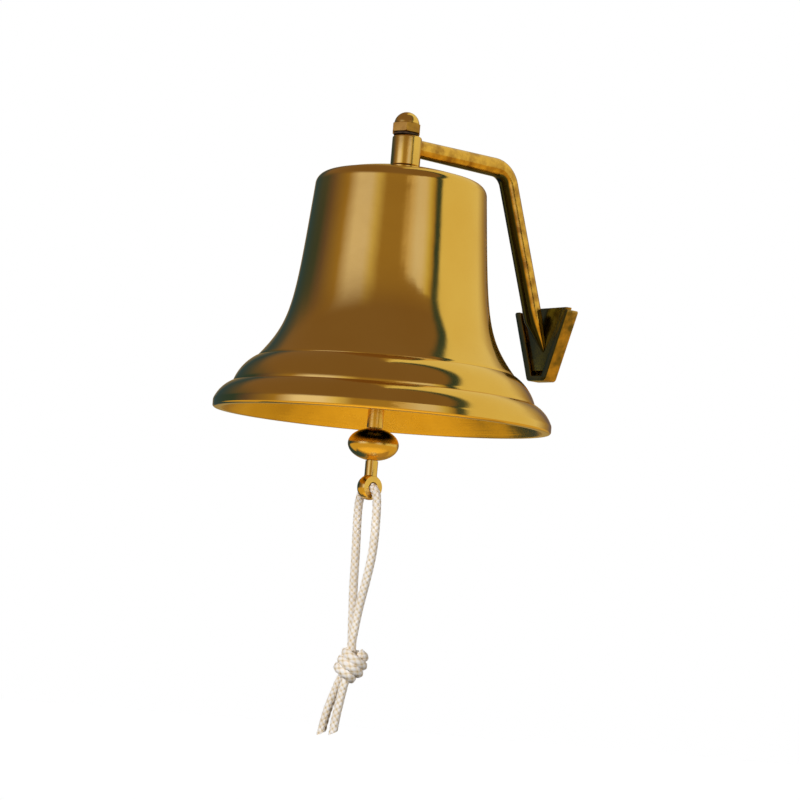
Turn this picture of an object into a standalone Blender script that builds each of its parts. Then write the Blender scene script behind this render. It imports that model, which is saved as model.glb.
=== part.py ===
"""Ship's bell on a lift-off wall bracket, with its clapper and bell rope.

Metres, +Z up. The origin is the centre of the wall plate's back face. The wall is
at +Y and the bell hangs in front of it, towards -Y.
"""
import math

import bmesh
import bpy
from mathutils import Matrix, Vector

# --- Clearance -----------------------------------------------------------------
GAP = 0.0003                   # left between two pieces that touch

# --- Bell, heights measured up from the rim --------------------------------------
MOUTH_RADIUS = 0.0803
THROAT_RADIUS = 0.0412         # where the waist meets the shoulder
WAIST_TOP = 0.1105
SHOULDER_RADIUS = 0.0055
CROWN_RISE = 0.0057            # from the shoulder's end to the middle of the crown
CROWN_SLOPE = math.radians(13)
LIP_ROUND = 0.0007
LIP_BAND = 0.0038              # the upright band round the mouth
LIP_WALL = 0.0042
BODY_WALL = 0.0030
LOWER_GROOVE = (0.0087, 0.0128)    # inset from the mouth's radius, height
UPPER_GROOVE = (0.0190, 0.0256)
GROOVE_STEP = 0.0008           # how far a moulding stands out of its groove
LOWER_BULGE = 0.0011
UPPER_BULGE = 0.0013
FLARE_LEAN = math.radians(39.4)    # off the vertical, at the foot of the waist
FLARE_PULL = 0.273             # shape of the waist's curve, as shares of its height
WAIST_LEAN = math.radians(4.8)
WAIST_PULL = 0.703
INNER_LIP_LEAN = math.radians(29.4)    # of the inside face where it meets the rim
INNER_LIP_PULL = 0.3
BELL_STEPS = 48

# --- Wall plate and its dovetail channel ------------------------------------------
WALL_CLEARANCE = 0.0236        # mouth to wall
PLATE_ABOVE_RIM = 0.0313
PLATE_HEIGHT = 0.0359
PLATE_TOP_WIDTH = 0.0399
PLATE_BOTTOM_WIDTH = 0.0136
PLATE_THICKNESS = 0.0074
PLATE_CORNER = 0.0015
RAIL_WIDTH = 0.0038
CHANNEL_DEPTH = 0.0052
CHANNEL_FLOOR_UP = 0.0027      # channel's closed end, above the plate's lower edge
UNDERCUT = math.radians(15)
SCREW_HOLE_RADIUS = 0.0021
SCREW_HEAD_RADIUS = 0.0037
UPPER_SCREWS_APART = 0.0160
UPPER_SCREWS_DOWN = 0.0080     # from the plate's upper edge
LOWER_SCREW_UP = 0.0100        # from the plate's lower edge

# --- Bracket: wedge, arm and boss -------------------------------------------------
WEDGE_RECESS = 0.0016          # wedge's face behind the rails' face
WEDGE_PROUD = 0.0015           # wedge's top above the plate's top
WEDGE_LENGTH = 0.0320
ARM_START_RADIUS = 0.0043
ARM_RADIUS = 0.0047            # from the bend downwards
ARM_CLIMB = math.radians(0.9)
ARM_BEND_RADIUS = 0.0110
ARM_SEAT = 0.0020              # how deep the arm sits in the boss
LEG_LEAN = math.radians(20.2)
LEG_POINT_LENGTH = 0.0185      # the leg's pointed end, measured up
LEG_POINT_RADIUS = 0.0002
LEG_FOOT_UP = 0.0131           # where its middle line meets the wedge, above the plate's foot
LEG_POINT_UP = 0.0118          # its tip above the plate's lower edge
LEG_POINT_SIDE = 0.0026        # the hand-filed tip runs a little to the right
LEG_POINT_SUNK = 0.0022        # its tip behind the wedge's face
BOSS_RADIUS = 0.0071
BOSS_HEIGHT = 0.0146
BOSS_EDGE = 0.0012
BOSS_OFFSET = 0.0010           # the casting is off the bolt's axis, towards the wall
ARM_BELOW_BOSS_TOP = 0.0048

# --- Centre bolt and what is on it -------------------------------------------------
STUD_RADIUS = 0.0040
GASKET_RADIUS = 0.0060
GASKET_THICKNESS = 0.0010
NUT_WASHER_RADIUS = 0.0060
NUT_WASHER_THICKNESS = 0.0008
NUT_ACROSS_FLATS = 0.0130
DOME_NUT_BAND = 0.0041
DOME_RADIUS = 0.0061
DOME_RISE = 0.0062
NUT_TURN = math.radians(-8)
INNER_WASHER_RADIUS = 0.0090
INNER_WASHER_THICKNESS = 0.0015
INNER_NUT_HEIGHT = 0.0065
HANG_OFFSET = 0.0038           # the bolt's eye is bent forward of its shank
BOLT_EYE_RADIUS = 0.0075       # to the middle of the wire
BOLT_EYE_WIRE = 0.0025
BOLT_NECK = 0.0021             # from the inner nut to the eye

# --- Clapper, heights measured up from the rim ---------------------------------------
LINK_RADIUS = 0.0085
LINK_WIRE = 0.0020
CLAPPER_EYE_RADIUS = 0.0067
CLAPPER_EYE_WIRE = 0.0022
CLAPPER_ROD_RADIUS = 0.00385
ROD_TAPER = 0.0070
BALL_HEIGHT = -0.0112          # the ball's middle hangs below the rim
BALL_RADIUS = 0.0121
BALL_HALF_HEIGHT = 0.0078
SPIGOT_RADIUS = 0.0025
SPIGOT_LENGTH = 0.0055
TAIL_RADIUS = 0.0030
TAIL_EYE_RADIUS = 0.0060
TAIL_EYE_DROP = 0.0204         # from the ball's middle to the eye's middle
TAIL_EYE_THICKNESS = 0.0055
ROPE_RADIUS = 0.0020
ROPE_CLEARANCE = 0.0006        # rope in the eye's hole, all round

# --- Bell rope: routes from the tail eye's middle, chosen by hand ---------------------
NEAR_STRAND = (
    (0.0006, 0, 0.0002), (0.0028, 0, -0.0003), (0.0050, -0.0001, -0.0020),
    (0.0064, -0.0002, -0.0049), (0.0071, -0.0003, -0.0094), (0.0076, -0.0005, -0.0164),
    (0.0077, -0.0006, -0.0234), (0.0067, -0.0005, -0.0324), (0.0045, -0.0006, -0.0424),
    (0.0022, -0.0008, -0.0514), (0.0005, -0.0011, -0.0594), (0, -0.0019, -0.0674),
    (-0.0002, -0.0026, -0.0744),
)
FAR_STRAND = (
    (-0.0006, 0, 0.0002), (-0.0028, 0, -0.0003), (-0.0051, 0, -0.0020),
    (-0.0067, 0, -0.0052), (-0.0074, 0, -0.0104), (-0.0072, 0, -0.0184),
    (-0.0067, 0.0001, -0.0284), (-0.0063, 0.0001, -0.0384), (-0.0058, 0, -0.0484),
    (-0.0051, 0.0001, -0.0574), (-0.0046, 0.0002, -0.0654), (-0.0040, 0.0006, -0.0744),
)
LONG_TAIL = (
    (-0.0053, -0.0032, -0.0902), (-0.0064, -0.0048, -0.0954), (-0.0075, -0.0063, -0.1010),
    (-0.0084, -0.0075, -0.1066), (-0.0090, -0.0084, -0.1120), (-0.0094, -0.0091, -0.1175),
)
SHORT_TAIL = (
    (-0.0006, -0.0043, -0.0910), (-0.0012, -0.0050, -0.0959), (-0.0018, -0.0056, -0.1012),
    (-0.0023, -0.0062, -0.1063), (-0.0028, -0.0066, -0.1115), (-0.0032, -0.0069, -0.1167),
)
KNOT_CENTRE = (-0.0009, -0.0011, -0.0829)
KNOT_RADII = (0.0073, 0.0073, 0.0080)

# --- Places that follow from the sizes ---------------------------------------------
BELL_REACH = MOUTH_RADIUS + WALL_CLEARANCE
PLATE_MIDDLE = PLATE_ABOVE_RIM + PLATE_HEIGHT / 2      # the origin, above the rim
PLATE_FRONT = -PLATE_THICKNESS
PLATE_TOP = PLATE_HEIGHT / 2
PLATE_BOTTOM = -PLATE_HEIGHT / 2
PLATE_TAPER = (PLATE_TOP_WIDTH - PLATE_BOTTOM_WIDTH) / 2 / PLATE_HEIGHT
WEDGE_FRONT = PLATE_FRONT + WEDGE_RECESS
WEDGE_TOP = PLATE_TOP + WEDGE_PROUD

SHOULDER_SWEEP = math.pi / 2 - CROWN_SLOPE
CROWN_EDGE_RADIUS = THROAT_RADIUS - SHOULDER_RADIUS * (1 - math.cos(SHOULDER_SWEEP))
CROWN_EDGE_HEIGHT = WAIST_TOP + SHOULDER_RADIUS * math.sin(SHOULDER_SWEEP)
CROWN_TOP = CROWN_EDGE_HEIGHT + CROWN_RISE
HOLE_RADIUS = STUD_RADIUS + GAP

GASKET_BOTTOM = CROWN_TOP + GAP
BOSS_BOTTOM = GASKET_BOTTOM + GASKET_THICKNESS + GAP
BOSS_TOP = BOSS_BOTTOM + BOSS_HEIGHT
NUT_WASHER_BOTTOM = BOSS_TOP + GAP
DOME_NUT_BOTTOM = NUT_WASHER_BOTTOM + NUT_WASHER_THICKNESS + GAP
ARM_HEIGHT = BOSS_TOP - ARM_BELOW_BOSS_TOP


def crown_height(radius, wall=0.0):
    """Height of the crown's surface at a radius, or of the face a wall below it."""
    share = radius / CROWN_EDGE_RADIUS
    return CROWN_TOP - wall - CROWN_RISE * share * share


INNER_WASHER_TOP = crown_height(INNER_WASHER_RADIUS, BODY_WALL) - GAP
INNER_NUT_TOP = INNER_WASHER_TOP - INNER_WASHER_THICKNESS - GAP
BOLT_EYE_MIDDLE = (INNER_NUT_TOP - INNER_NUT_HEIGHT - BOLT_NECK
                   - BOLT_EYE_WIRE - BOLT_EYE_RADIUS)
LINK_PIVOT = BOLT_EYE_MIDDLE - BOLT_EYE_RADIUS         # the eye's lowest wire
LINK_MIDDLE = LINK_PIVOT + BOLT_EYE_WIRE + GAP + LINK_WIRE - LINK_RADIUS
CLAPPER_PIVOT = LINK_MIDDLE - LINK_RADIUS              # the link's lowest wire
CLAPPER_EYE_MIDDLE = CLAPPER_PIVOT + LINK_WIRE + GAP + CLAPPER_EYE_WIRE - CLAPPER_EYE_RADIUS
TAIL_EYE_HEIGHT = BALL_HEIGHT - TAIL_EYE_DROP


# --- Small tools --------------------------------------------------------------------
def clear_scene():
    for item in list(bpy.data.objects):
        bpy.data.objects.remove(item, do_unlink=True)


def make_material(name, colour, metallic, roughness):
    material = bpy.data.materials.new(name)
    material.use_nodes = True
    shader = material.node_tree.nodes["Principled BSDF"]
    shader.inputs["Base Color"].default_value = (*colour, 1.0)
    shader.inputs["Metallic"].default_value = metallic
    shader.inputs["Roughness"].default_value = roughness
    return material


def make_empty(name, place, parent=None):
    empty = bpy.data.objects.new(name, None)
    bpy.context.scene.collection.objects.link(empty)
    empty.parent = parent
    empty.location = place
    return empty


def make_object(name, bm, material, parent=None):
    """Turn a bmesh into a named object, shaded smooth except at its real edges."""
    bmesh.ops.recalc_face_normals(bm, faces=bm.faces)
    mesh = bpy.data.meshes.new(name)
    bm.to_mesh(mesh)
    bm.free()
    mesh.shade_smooth()
    mesh.set_sharp_from_angle(angle=math.radians(35))
    item = bpy.data.objects.new(name, mesh)
    bpy.context.scene.collection.objects.link(item)
    item.parent = parent
    if material:
        mesh.materials.append(material)
    return item


def make_cutter(name, bm, parent=None):
    cutter = make_object(name, bm, None, parent)
    cutter.hide_render = True
    cutter.display_type = "WIRE"
    return cutter


def combine(item, other, operation):
    change = item.modifiers.new(other.name, "BOOLEAN")
    change.operation = operation
    change.solver = "EXACT"
    change.object = other


def arch(start, end, bulge, steps):
    """Points from start to end, both included, on a curve that stands out by bulge."""
    start, end = Vector(start), Vector(end)
    along = (end - start).normalized()
    outward = Vector((along.y, -along.x))
    points = []
    for step in range(steps + 1):
        share = step / steps
        points.append(start.lerp(end, share) + outward * bulge * 4 * share * (1 - share))
    return points


def cubic(p0, p1, p2, p3, steps):
    """Points and tangents along a cubic curve, both ends included."""
    result = []
    for step in range(steps + 1):
        t = step / steps
        s = 1 - t
        point = p0 * s**3 + p1 * 3 * s * s * t + p2 * 3 * s * t * t + p3 * t**3
        tangent = (p1 - p0) * s * s + (p2 - p1) * 2 * s * t + (p3 - p2) * t * t
        result.append((point, tangent.normalized()))
    return result


def turned(outline, steps, closed=False):
    """Turn an outline of (radius, height) points about Z; open ones end on the axis."""
    bm = bmesh.new()
    verts = [bm.verts.new((radius, 0, height)) for radius, height in outline]
    edges = [bm.edges.new(pair) for pair in zip(verts, verts[1:])]
    if closed:
        edges.append(bm.edges.new((verts[-1], verts[0])))
    bmesh.ops.spin(bm, geom=verts + edges, cent=(0, 0, 0), axis=(0, 0, 1),
                   angle=2 * math.pi, steps=steps, use_merge=True)
    bmesh.ops.remove_doubles(bm, verts=bm.verts, dist=1e-6)
    return bm


def tube_ring(outer, inner, bottom, height, steps=32):
    """A plain washer or sleeve."""
    top = bottom + height
    outline = ((outer, bottom), (outer, top), (inner, top), (inner, bottom))
    return turned(outline, steps, closed=True)


def cylinder(radius, length, matrix, steps=32):
    """A closed cylinder about the matrix's Z axis, from its origin upwards."""
    bm = bmesh.new()
    lift = matrix @ Matrix.Translation((0, 0, length / 2))
    bmesh.ops.create_cone(bm, cap_ends=True, segments=steps, radius1=radius,
                          radius2=radius, depth=length, matrix=lift)
    return bm


def wire_ring(radius, wire, axis, middle, steps=24, wire_steps=8):
    """A round ring of round wire; its hole runs along the axis, "X" or "Y"."""
    bm = bmesh.new()
    section = bmesh.ops.create_circle(bm, segments=wire_steps, radius=wire)["verts"]
    bmesh.ops.rotate(bm, verts=section, matrix=Matrix.Rotation(math.pi / 2, 3, "X"))
    bmesh.ops.translate(bm, verts=section, vec=(radius, 0, 0))
    bmesh.ops.spin(bm, geom=section + list(bm.edges), cent=(0, 0, 0), axis=(0, 0, 1),
                   angle=2 * math.pi, steps=steps, use_merge=True)
    bmesh.ops.remove_doubles(bm, verts=bm.verts, dist=1e-6)
    tip = Matrix.Rotation(math.pi / 2, 3, "Y" if axis == "X" else "X")
    bmesh.ops.rotate(bm, verts=bm.verts, matrix=tip)
    bmesh.ops.translate(bm, verts=bm.verts, vec=middle)
    return bm


def hexagon(across_flats, bottom, height, turn):
    """A six-sided prism standing on the Z axis."""
    bm = bmesh.new()
    place = Matrix.Translation((0, 0, bottom + height / 2)) @ Matrix.Rotation(turn, 4, "Z")
    corner = across_flats / 2 / math.cos(math.pi / 6)
    bmesh.ops.create_cone(bm, cap_ends=True, segments=6, radius1=corner,
                          radius2=corner, depth=height, matrix=place)
    return bm


def swept_rod(points, radii, steps=24):
    """A round rod through the points, with its own radius at each."""
    bm = bmesh.new()
    last = len(points) - 1
    previous = None
    for index, (point, radius) in enumerate(zip(points, radii)):
        along = points[min(index + 1, last)] - points[max(index - 1, 0)]
        turn = along.to_track_quat("Z", "X").to_matrix().to_4x4()
        ring = bmesh.ops.create_circle(bm, segments=steps, radius=radius,
                                       matrix=Matrix.Translation(point) @ turn)["verts"]
        edges = [edge for edge in bm.edges if edge.verts[0] in ring and edge.verts[1] in ring]
        if previous:
            bmesh.ops.bridge_loops(bm, edges=previous + edges)
        previous = edges
    bmesh.ops.holes_fill(bm, edges=[edge for edge in bm.edges if edge.is_boundary], sides=0)
    return bm


def tapered_block(bottom, top, front, back, half_width):
    """A block whose half width follows half_width(height, depth) at every corner."""
    bm = bmesh.new()
    bmesh.ops.create_cube(bm, size=2)
    for vert in bm.verts:
        height = top if vert.co.z > 0 else bottom
        depth = back if vert.co.y > 0 else front
        side = math.copysign(half_width(height, depth), vert.co.x)
        vert.co = (side, depth, height)
    return bm


# --- Bell ---------------------------------------------------------------------------
def waist_curve(steps):
    foot = Vector((MOUTH_RADIUS - UPPER_GROOVE[0], UPPER_GROOVE[1] + GROOVE_STEP / 2))
    head = Vector((THROAT_RADIUS, WAIST_TOP))
    rise = head.y - foot.y
    foot_pull = Vector((-math.sin(FLARE_LEAN), math.cos(FLARE_LEAN))) * rise * FLARE_PULL
    head_pull = Vector((math.sin(WAIST_LEAN), -math.cos(WAIST_LEAN))) * rise * WAIST_PULL
    return cubic(foot, foot + foot_pull, head + head_pull, head, steps)


def shoulder_arc(radius, steps):
    centre = Vector((THROAT_RADIUS - SHOULDER_RADIUS, WAIST_TOP))
    points = []
    for step in range(1, steps + 1):
        angle = SHOULDER_SWEEP * step / steps
        points.append(centre + Vector((math.cos(angle), math.sin(angle))) * radius)
    return points


def outer_outline():
    """Lip, two mouldings, waist, shoulder and crown, from the rim upwards."""
    lower = Vector((MOUTH_RADIUS - LOWER_GROOVE[0], LOWER_GROOVE[1]))
    upper = Vector((MOUTH_RADIUS - UPPER_GROOVE[0], UPPER_GROOVE[1]))
    step_out = Vector((GROOVE_STEP, 0))
    step_up = Vector((0, GROOVE_STEP))
    outline = [Vector((MOUTH_RADIUS - LIP_ROUND, 0)), Vector((MOUTH_RADIUS, LIP_ROUND))]
    outline += arch((MOUTH_RADIUS, LIP_BAND), lower + step_out, LOWER_BULGE, 5)
    outline += [lower]
    outline += arch(lower + step_up, upper + step_out, UPPER_BULGE, 6)
    outline += [upper]
    outline += [point for point, tangent in waist_curve(11)]
    outline += shoulder_arc(SHOULDER_RADIUS, 5)
    outline += crown_points(0.0)
    return outline


def crown_points(wall):
    """The crown from its edge to the hole, at the surface or a wall below it."""
    points = []
    for share in (0.75, 0.5, 0.25, 0.0):
        radius = HOLE_RADIUS + (CROWN_EDGE_RADIUS - HOLE_RADIUS) * share
        points.append(Vector((radius, crown_height(radius, wall))))
    return points


def inner_outline():
    """The inside face from the hole in the crown down to the rim."""
    waist = [point + Vector((-tangent.y, tangent.x)) * BODY_WALL
             for point, tangent in waist_curve(8)]
    foot = waist[0]
    rim = Vector((MOUTH_RADIUS - LIP_WALL, 0))
    pull = (rim - foot).length * INNER_LIP_PULL
    from_foot = Vector((math.sin(FLARE_LEAN), -math.cos(FLARE_LEAN))) * pull
    from_rim = Vector((-math.sin(INNER_LIP_LEAN), math.cos(INNER_LIP_LEAN))) * pull
    bow = [point for point, tangent in cubic(foot, foot + from_foot, rim + from_rim, rim, 5)]
    shoulder = shoulder_arc(SHOULDER_RADIUS - BODY_WALL, 3)
    return crown_points(BODY_WALL)[::-1] + shoulder[::-1] + waist[::-1] + bow[1:]


def make_bell(parent, brass):
    bm = turned(outer_outline() + inner_outline(), BELL_STEPS, closed=True)
    make_object("bell", bm, brass, parent)


# --- Wall plate and wedge -------------------------------------------------------------
def plate_half_width(height, depth):
    return PLATE_BOTTOM_WIDTH / 2 + (height - PLATE_BOTTOM) * PLATE_TAPER


def channel_half_width(height, depth):
    rail = RAIL_WIDTH * math.hypot(1, PLATE_TAPER)
    undercut = (depth - PLATE_FRONT) * math.tan(UNDERCUT)
    return plate_half_width(height, depth) - rail + undercut


def wedge_half_width(height, depth):
    return channel_half_width(height, depth) - GAP * math.hypot(1, PLATE_TAPER)


def make_screw_hole(plate, name, across, height):
    """A countersunk hole: its shank runs to the wall, its cone opens at the floor."""
    floor = PLATE_FRONT + CHANNEL_DEPTH
    sink = SCREW_HEAD_RADIUS - SCREW_HOLE_RADIUS
    outline = ((0, GAP), (SCREW_HOLE_RADIUS, GAP), (SCREW_HOLE_RADIUS, floor + sink),
               (SCREW_HEAD_RADIUS, floor), (SCREW_HEAD_RADIUS, floor - sink),
               (0, floor - sink))
    bm = turned([(radius, -depth) for radius, depth in outline], 24)
    bmesh.ops.rotate(bm, verts=bm.verts, matrix=Matrix.Rotation(math.pi / 2, 3, "X"))
    bmesh.ops.translate(bm, verts=bm.verts, vec=(across, 0, height))
    combine(plate, make_cutter(name, bm), "DIFFERENCE")


def make_wall_plate(parent, brass):
    bm = tapered_block(PLATE_BOTTOM, PLATE_TOP, PLATE_FRONT, 0, plate_half_width)
    corners = [edge for edge in bm.edges
               if abs(edge.verts[0].co.y - edge.verts[1].co.y) > PLATE_THICKNESS / 2]
    bmesh.ops.bevel(bm, geom=corners, offset=PLATE_CORNER, segments=4, profile=0.5,
                    affect="EDGES", material=-1)
    plate = make_object("wall_plate", bm, brass, parent)
    above = PLATE_TOP + PLATE_CORNER
    in_front = PLATE_FRONT - PLATE_CORNER
    channel = tapered_block(PLATE_BOTTOM + CHANNEL_FLOOR_UP, above, in_front,
                            PLATE_FRONT + CHANNEL_DEPTH, channel_half_width)
    combine(plate, make_cutter("channel_cutter", channel), "DIFFERENCE")
    side = UPPER_SCREWS_APART / 2
    make_screw_hole(plate, "left_screw_hole", -side, PLATE_TOP - UPPER_SCREWS_DOWN)
    make_screw_hole(plate, "right_screw_hole", side, PLATE_TOP - UPPER_SCREWS_DOWN)
    make_screw_hole(plate, "lower_screw_hole", 0, PLATE_BOTTOM + LOWER_SCREW_UP)


def make_wedge(parent, brass):
    bm = tapered_block(WEDGE_TOP - WEDGE_LENGTH, WEDGE_TOP, WEDGE_FRONT,
                       PLATE_FRONT + CHANNEL_DEPTH - GAP, wedge_half_width)
    make_object("bracket_wedge", bm, brass, parent)


# --- Arm and boss ---------------------------------------------------------------------
def arm_route():
    """Points and radii from the boss, round the bend and down the leg to its point."""
    climb = Vector((0, math.cos(ARM_CLIMB), math.sin(ARM_CLIMB)))
    fall = Vector((0, math.sin(LEG_LEAN), -math.cos(LEG_LEAN)))
    axis_y, rim_z = -BELL_REACH, -PLATE_MIDDLE
    root = Vector((0, axis_y, rim_z + ARM_HEIGHT))
    tip = Vector((LEG_POINT_SIDE, WEDGE_FRONT + LEG_POINT_SUNK, PLATE_BOTTOM + LEG_POINT_UP))
    leg_end_height = tip.z + LEG_POINT_LENGTH
    foot = Vector((0, WEDGE_FRONT, PLATE_BOTTOM + LEG_FOOT_UP))
    across = foot.y - root.y
    drop = root.z - foot.z
    lean = math.tan(LEG_LEAN)
    run = (across - drop * lean) / (1 + math.tan(ARM_CLIMB) * lean)
    corner = root + Vector((0, run, run * math.tan(ARM_CLIMB)))
    sweep = math.pi / 2 + ARM_CLIMB - LEG_LEAN
    tangent_length = ARM_BEND_RADIUS * math.tan(sweep / 2)
    start = root + climb * (BOSS_OFFSET + BOSS_RADIUS - ARM_SEAT + GAP)
    bend_start = corner - climb * tangent_length
    inward = Vector((0, math.sin(ARM_CLIMB), -math.cos(ARM_CLIMB)))
    centre = bend_start + inward * ARM_BEND_RADIUS
    points = [start, start.lerp(bend_start, 0.5)]
    radii = [ARM_START_RADIUS, (ARM_START_RADIUS + ARM_RADIUS) / 2]
    bend_steps = 8
    for step in range(bend_steps + 1):
        turn = Matrix.Rotation(-sweep * step / bend_steps, 3, "X")
        points.append(centre + turn @ (bend_start - centre))
        radii.append(ARM_RADIUS)
    bend_end = points[-1]
    leg_end = bend_end + fall * ((bend_end.z - leg_end_height) / math.cos(LEG_LEAN))
    points += [leg_end, tip]
    radii += [ARM_RADIUS, LEG_POINT_RADIUS]
    return points, radii


def make_arm(parent, brass):
    points, radii = arm_route()
    bm = swept_rod(points, radii)
    bmesh.ops.bisect_plane(bm, geom=list(bm.verts) + list(bm.edges) + list(bm.faces),
                           dist=1e-7, plane_co=(0, WEDGE_FRONT - GAP, 0),
                           plane_no=(0, 1, 0), clear_outer=True)
    bmesh.ops.holes_fill(bm, edges=[edge for edge in bm.edges if edge.is_boundary], sides=0)
    make_object("bracket_arm", bm, brass, parent)


def make_boss(parent, brass):
    outline = ((0, 0), (BOSS_RADIUS - BOSS_EDGE / 2, 0), (BOSS_RADIUS, BOSS_EDGE / 2),
               (BOSS_RADIUS, BOSS_HEIGHT - BOSS_EDGE),
               (BOSS_RADIUS - BOSS_EDGE / 3, BOSS_HEIGHT - BOSS_EDGE / 3),
               (BOSS_RADIUS - BOSS_EDGE, BOSS_HEIGHT), (0, BOSS_HEIGHT))
    bm = turned(outline, 36)
    bmesh.ops.translate(bm, verts=bm.verts, vec=(0, BOSS_OFFSET, BOSS_BOTTOM))
    boss = make_object("bracket_boss", bm, brass, parent)
    bore = cylinder(HOLE_RADIUS, BOSS_HEIGHT + 2 * GAP,
                    Matrix.Translation((0, 0, BOSS_BOTTOM - GAP)))
    combine(boss, make_cutter("boss_bore_cutter", bore, parent), "DIFFERENCE")
    toward_wall = Matrix.Rotation(-math.pi / 2 + ARM_CLIMB, 4, "X")
    reach = toward_wall @ Vector((0, 0, BOSS_OFFSET + BOSS_RADIUS - ARM_SEAT))
    start = Matrix.Translation(Vector((0, 0, ARM_HEIGHT)) + reach)
    seat = cylinder(ARM_START_RADIUS + GAP, BOSS_RADIUS, start @ toward_wall)
    combine(boss, make_cutter("arm_seat_cutter", seat, parent), "DIFFERENCE")


# --- Bolt, nuts and washers -------------------------------------------------------------
def make_dome_nut(parent, brass):
    nut = make_object("dome_nut", hexagon(NUT_ACROSS_FLATS, DOME_NUT_BOTTOM, DOME_NUT_BAND,
                                          NUT_TURN), brass, parent)
    top = DOME_NUT_BOTTOM + DOME_NUT_BAND
    outline = [(0, top - DOME_NUT_BAND / 2), (DOME_RADIUS, top - DOME_NUT_BAND / 2)]
    for step in range(7):
        angle = math.pi / 2 * step / 6
        outline.append((DOME_RADIUS * math.cos(angle), top + DOME_RISE * math.sin(angle)))
    combine(nut, make_cutter("dome_shape", turned(outline, 32), parent), "UNION")
    bore = cylinder(HOLE_RADIUS, DOME_NUT_BAND + GAP,
                    Matrix.Translation((0, 0, DOME_NUT_BOTTOM - GAP)))
    combine(nut, make_cutter("nut_bore_cutter", bore, parent), "DIFFERENCE")


def make_eye_bolt(parent, brass):
    top = DOME_NUT_BOTTOM + DOME_NUT_BAND - 2 * GAP
    bottom = BOLT_EYE_MIDDLE + BOLT_EYE_RADIUS - BOLT_EYE_WIRE + 2 * GAP
    stud = cylinder(STUD_RADIUS, top - bottom, Matrix.Translation((0, 0, bottom)), 24)
    bolt = make_object("eye_bolt", stud, brass, parent)
    eye = wire_ring(BOLT_EYE_RADIUS, BOLT_EYE_WIRE, "X", (0, -HANG_OFFSET, BOLT_EYE_MIDDLE))
    combine(bolt, make_cutter("bolt_eye_shape", eye, parent), "UNION")


def make_fastenings(parent, brass, fibre):
    washer = tube_ring(NUT_WASHER_RADIUS, HOLE_RADIUS, NUT_WASHER_BOTTOM, NUT_WASHER_THICKNESS)
    make_object("nut_washer", washer, fibre, parent)
    gasket = tube_ring(GASKET_RADIUS, HOLE_RADIUS, GASKET_BOTTOM, GASKET_THICKNESS)
    make_object("crown_gasket", gasket, fibre, parent)
    bottom = INNER_WASHER_TOP - INNER_WASHER_THICKNESS
    inner_washer = tube_ring(INNER_WASHER_RADIUS, HOLE_RADIUS, bottom, INNER_WASHER_THICKNESS)
    make_object("inner_washer", inner_washer, brass, parent)
    nut_bottom = INNER_NUT_TOP - INNER_NUT_HEIGHT
    body = hexagon(NUT_ACROSS_FLATS, nut_bottom, INNER_NUT_HEIGHT, 0)
    nut = make_object("inner_nut", body, brass, parent)
    bore = cylinder(HOLE_RADIUS, INNER_NUT_HEIGHT + 2 * GAP,
                    Matrix.Translation((0, 0, nut_bottom - GAP)))
    combine(nut, make_cutter("inner_nut_bore_cutter", bore, parent), "DIFFERENCE")


# --- Clapper: each piece is placed from its own pivot -------------------------------------
def make_link(pivot, brass):
    bm = wire_ring(LINK_RADIUS, LINK_WIRE, "Y", (0, 0, LINK_MIDDLE - LINK_PIVOT))
    make_object("clapper_link", bm, brass, pivot)


def make_clapper_rod(pivot, brass):
    shoulder = ball_face(CLAPPER_ROD_RADIUS) + GAP - CLAPPER_PIVOT
    top = CLAPPER_EYE_MIDDLE - CLAPPER_EYE_RADIUS + CLAPPER_EYE_WIRE / 2 - CLAPPER_PIVOT
    outline = ((0, shoulder - SPIGOT_LENGTH), (SPIGOT_RADIUS, shoulder - SPIGOT_LENGTH),
               (SPIGOT_RADIUS, shoulder), (CLAPPER_ROD_RADIUS, shoulder),
               (CLAPPER_ROD_RADIUS, top - ROD_TAPER), (CLAPPER_EYE_WIRE, top), (0, top))
    rod = make_object("clapper_rod", turned(outline, 24), brass, pivot)
    eye = wire_ring(CLAPPER_EYE_RADIUS, CLAPPER_EYE_WIRE, "X",
                    (0, 0, CLAPPER_EYE_MIDDLE - CLAPPER_PIVOT))
    combine(rod, make_cutter("clapper_eye_shape", eye, pivot), "UNION")


def ball_face(radius, side=1):
    """Height of the ball's surface at a radius; side is 1 above and -1 below."""
    share = math.sqrt(1 - (radius / BALL_RADIUS) ** 2)
    return BALL_HEIGHT + side * BALL_HALF_HEIGHT * share


def make_ball(pivot, brass):
    hole = SPIGOT_RADIUS + GAP
    outline = []
    for radius, side in ((TAIL_RADIUS, -1), (CLAPPER_ROD_RADIUS, 1)):
        flat = ball_face(radius, side)
        outline.append([(hole, flat), (radius, flat)])
    low = math.asin((outline[0][1][1] - BALL_HEIGHT) / BALL_HALF_HEIGHT)
    high = math.asin((outline[1][1][1] - BALL_HEIGHT) / BALL_HALF_HEIGHT)
    curve = []
    for step in range(1, 12):
        angle = low + (high - low) * step / 12
        curve.append((BALL_RADIUS * math.cos(angle),
                      BALL_HEIGHT + BALL_HALF_HEIGHT * math.sin(angle)))
    profile = outline[0] + curve + outline[1][::-1]
    bm = turned([(r, h - CLAPPER_PIVOT) for r, h in profile], 32, closed=True)
    make_object("clapper_ball", bm, brass, pivot)


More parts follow.
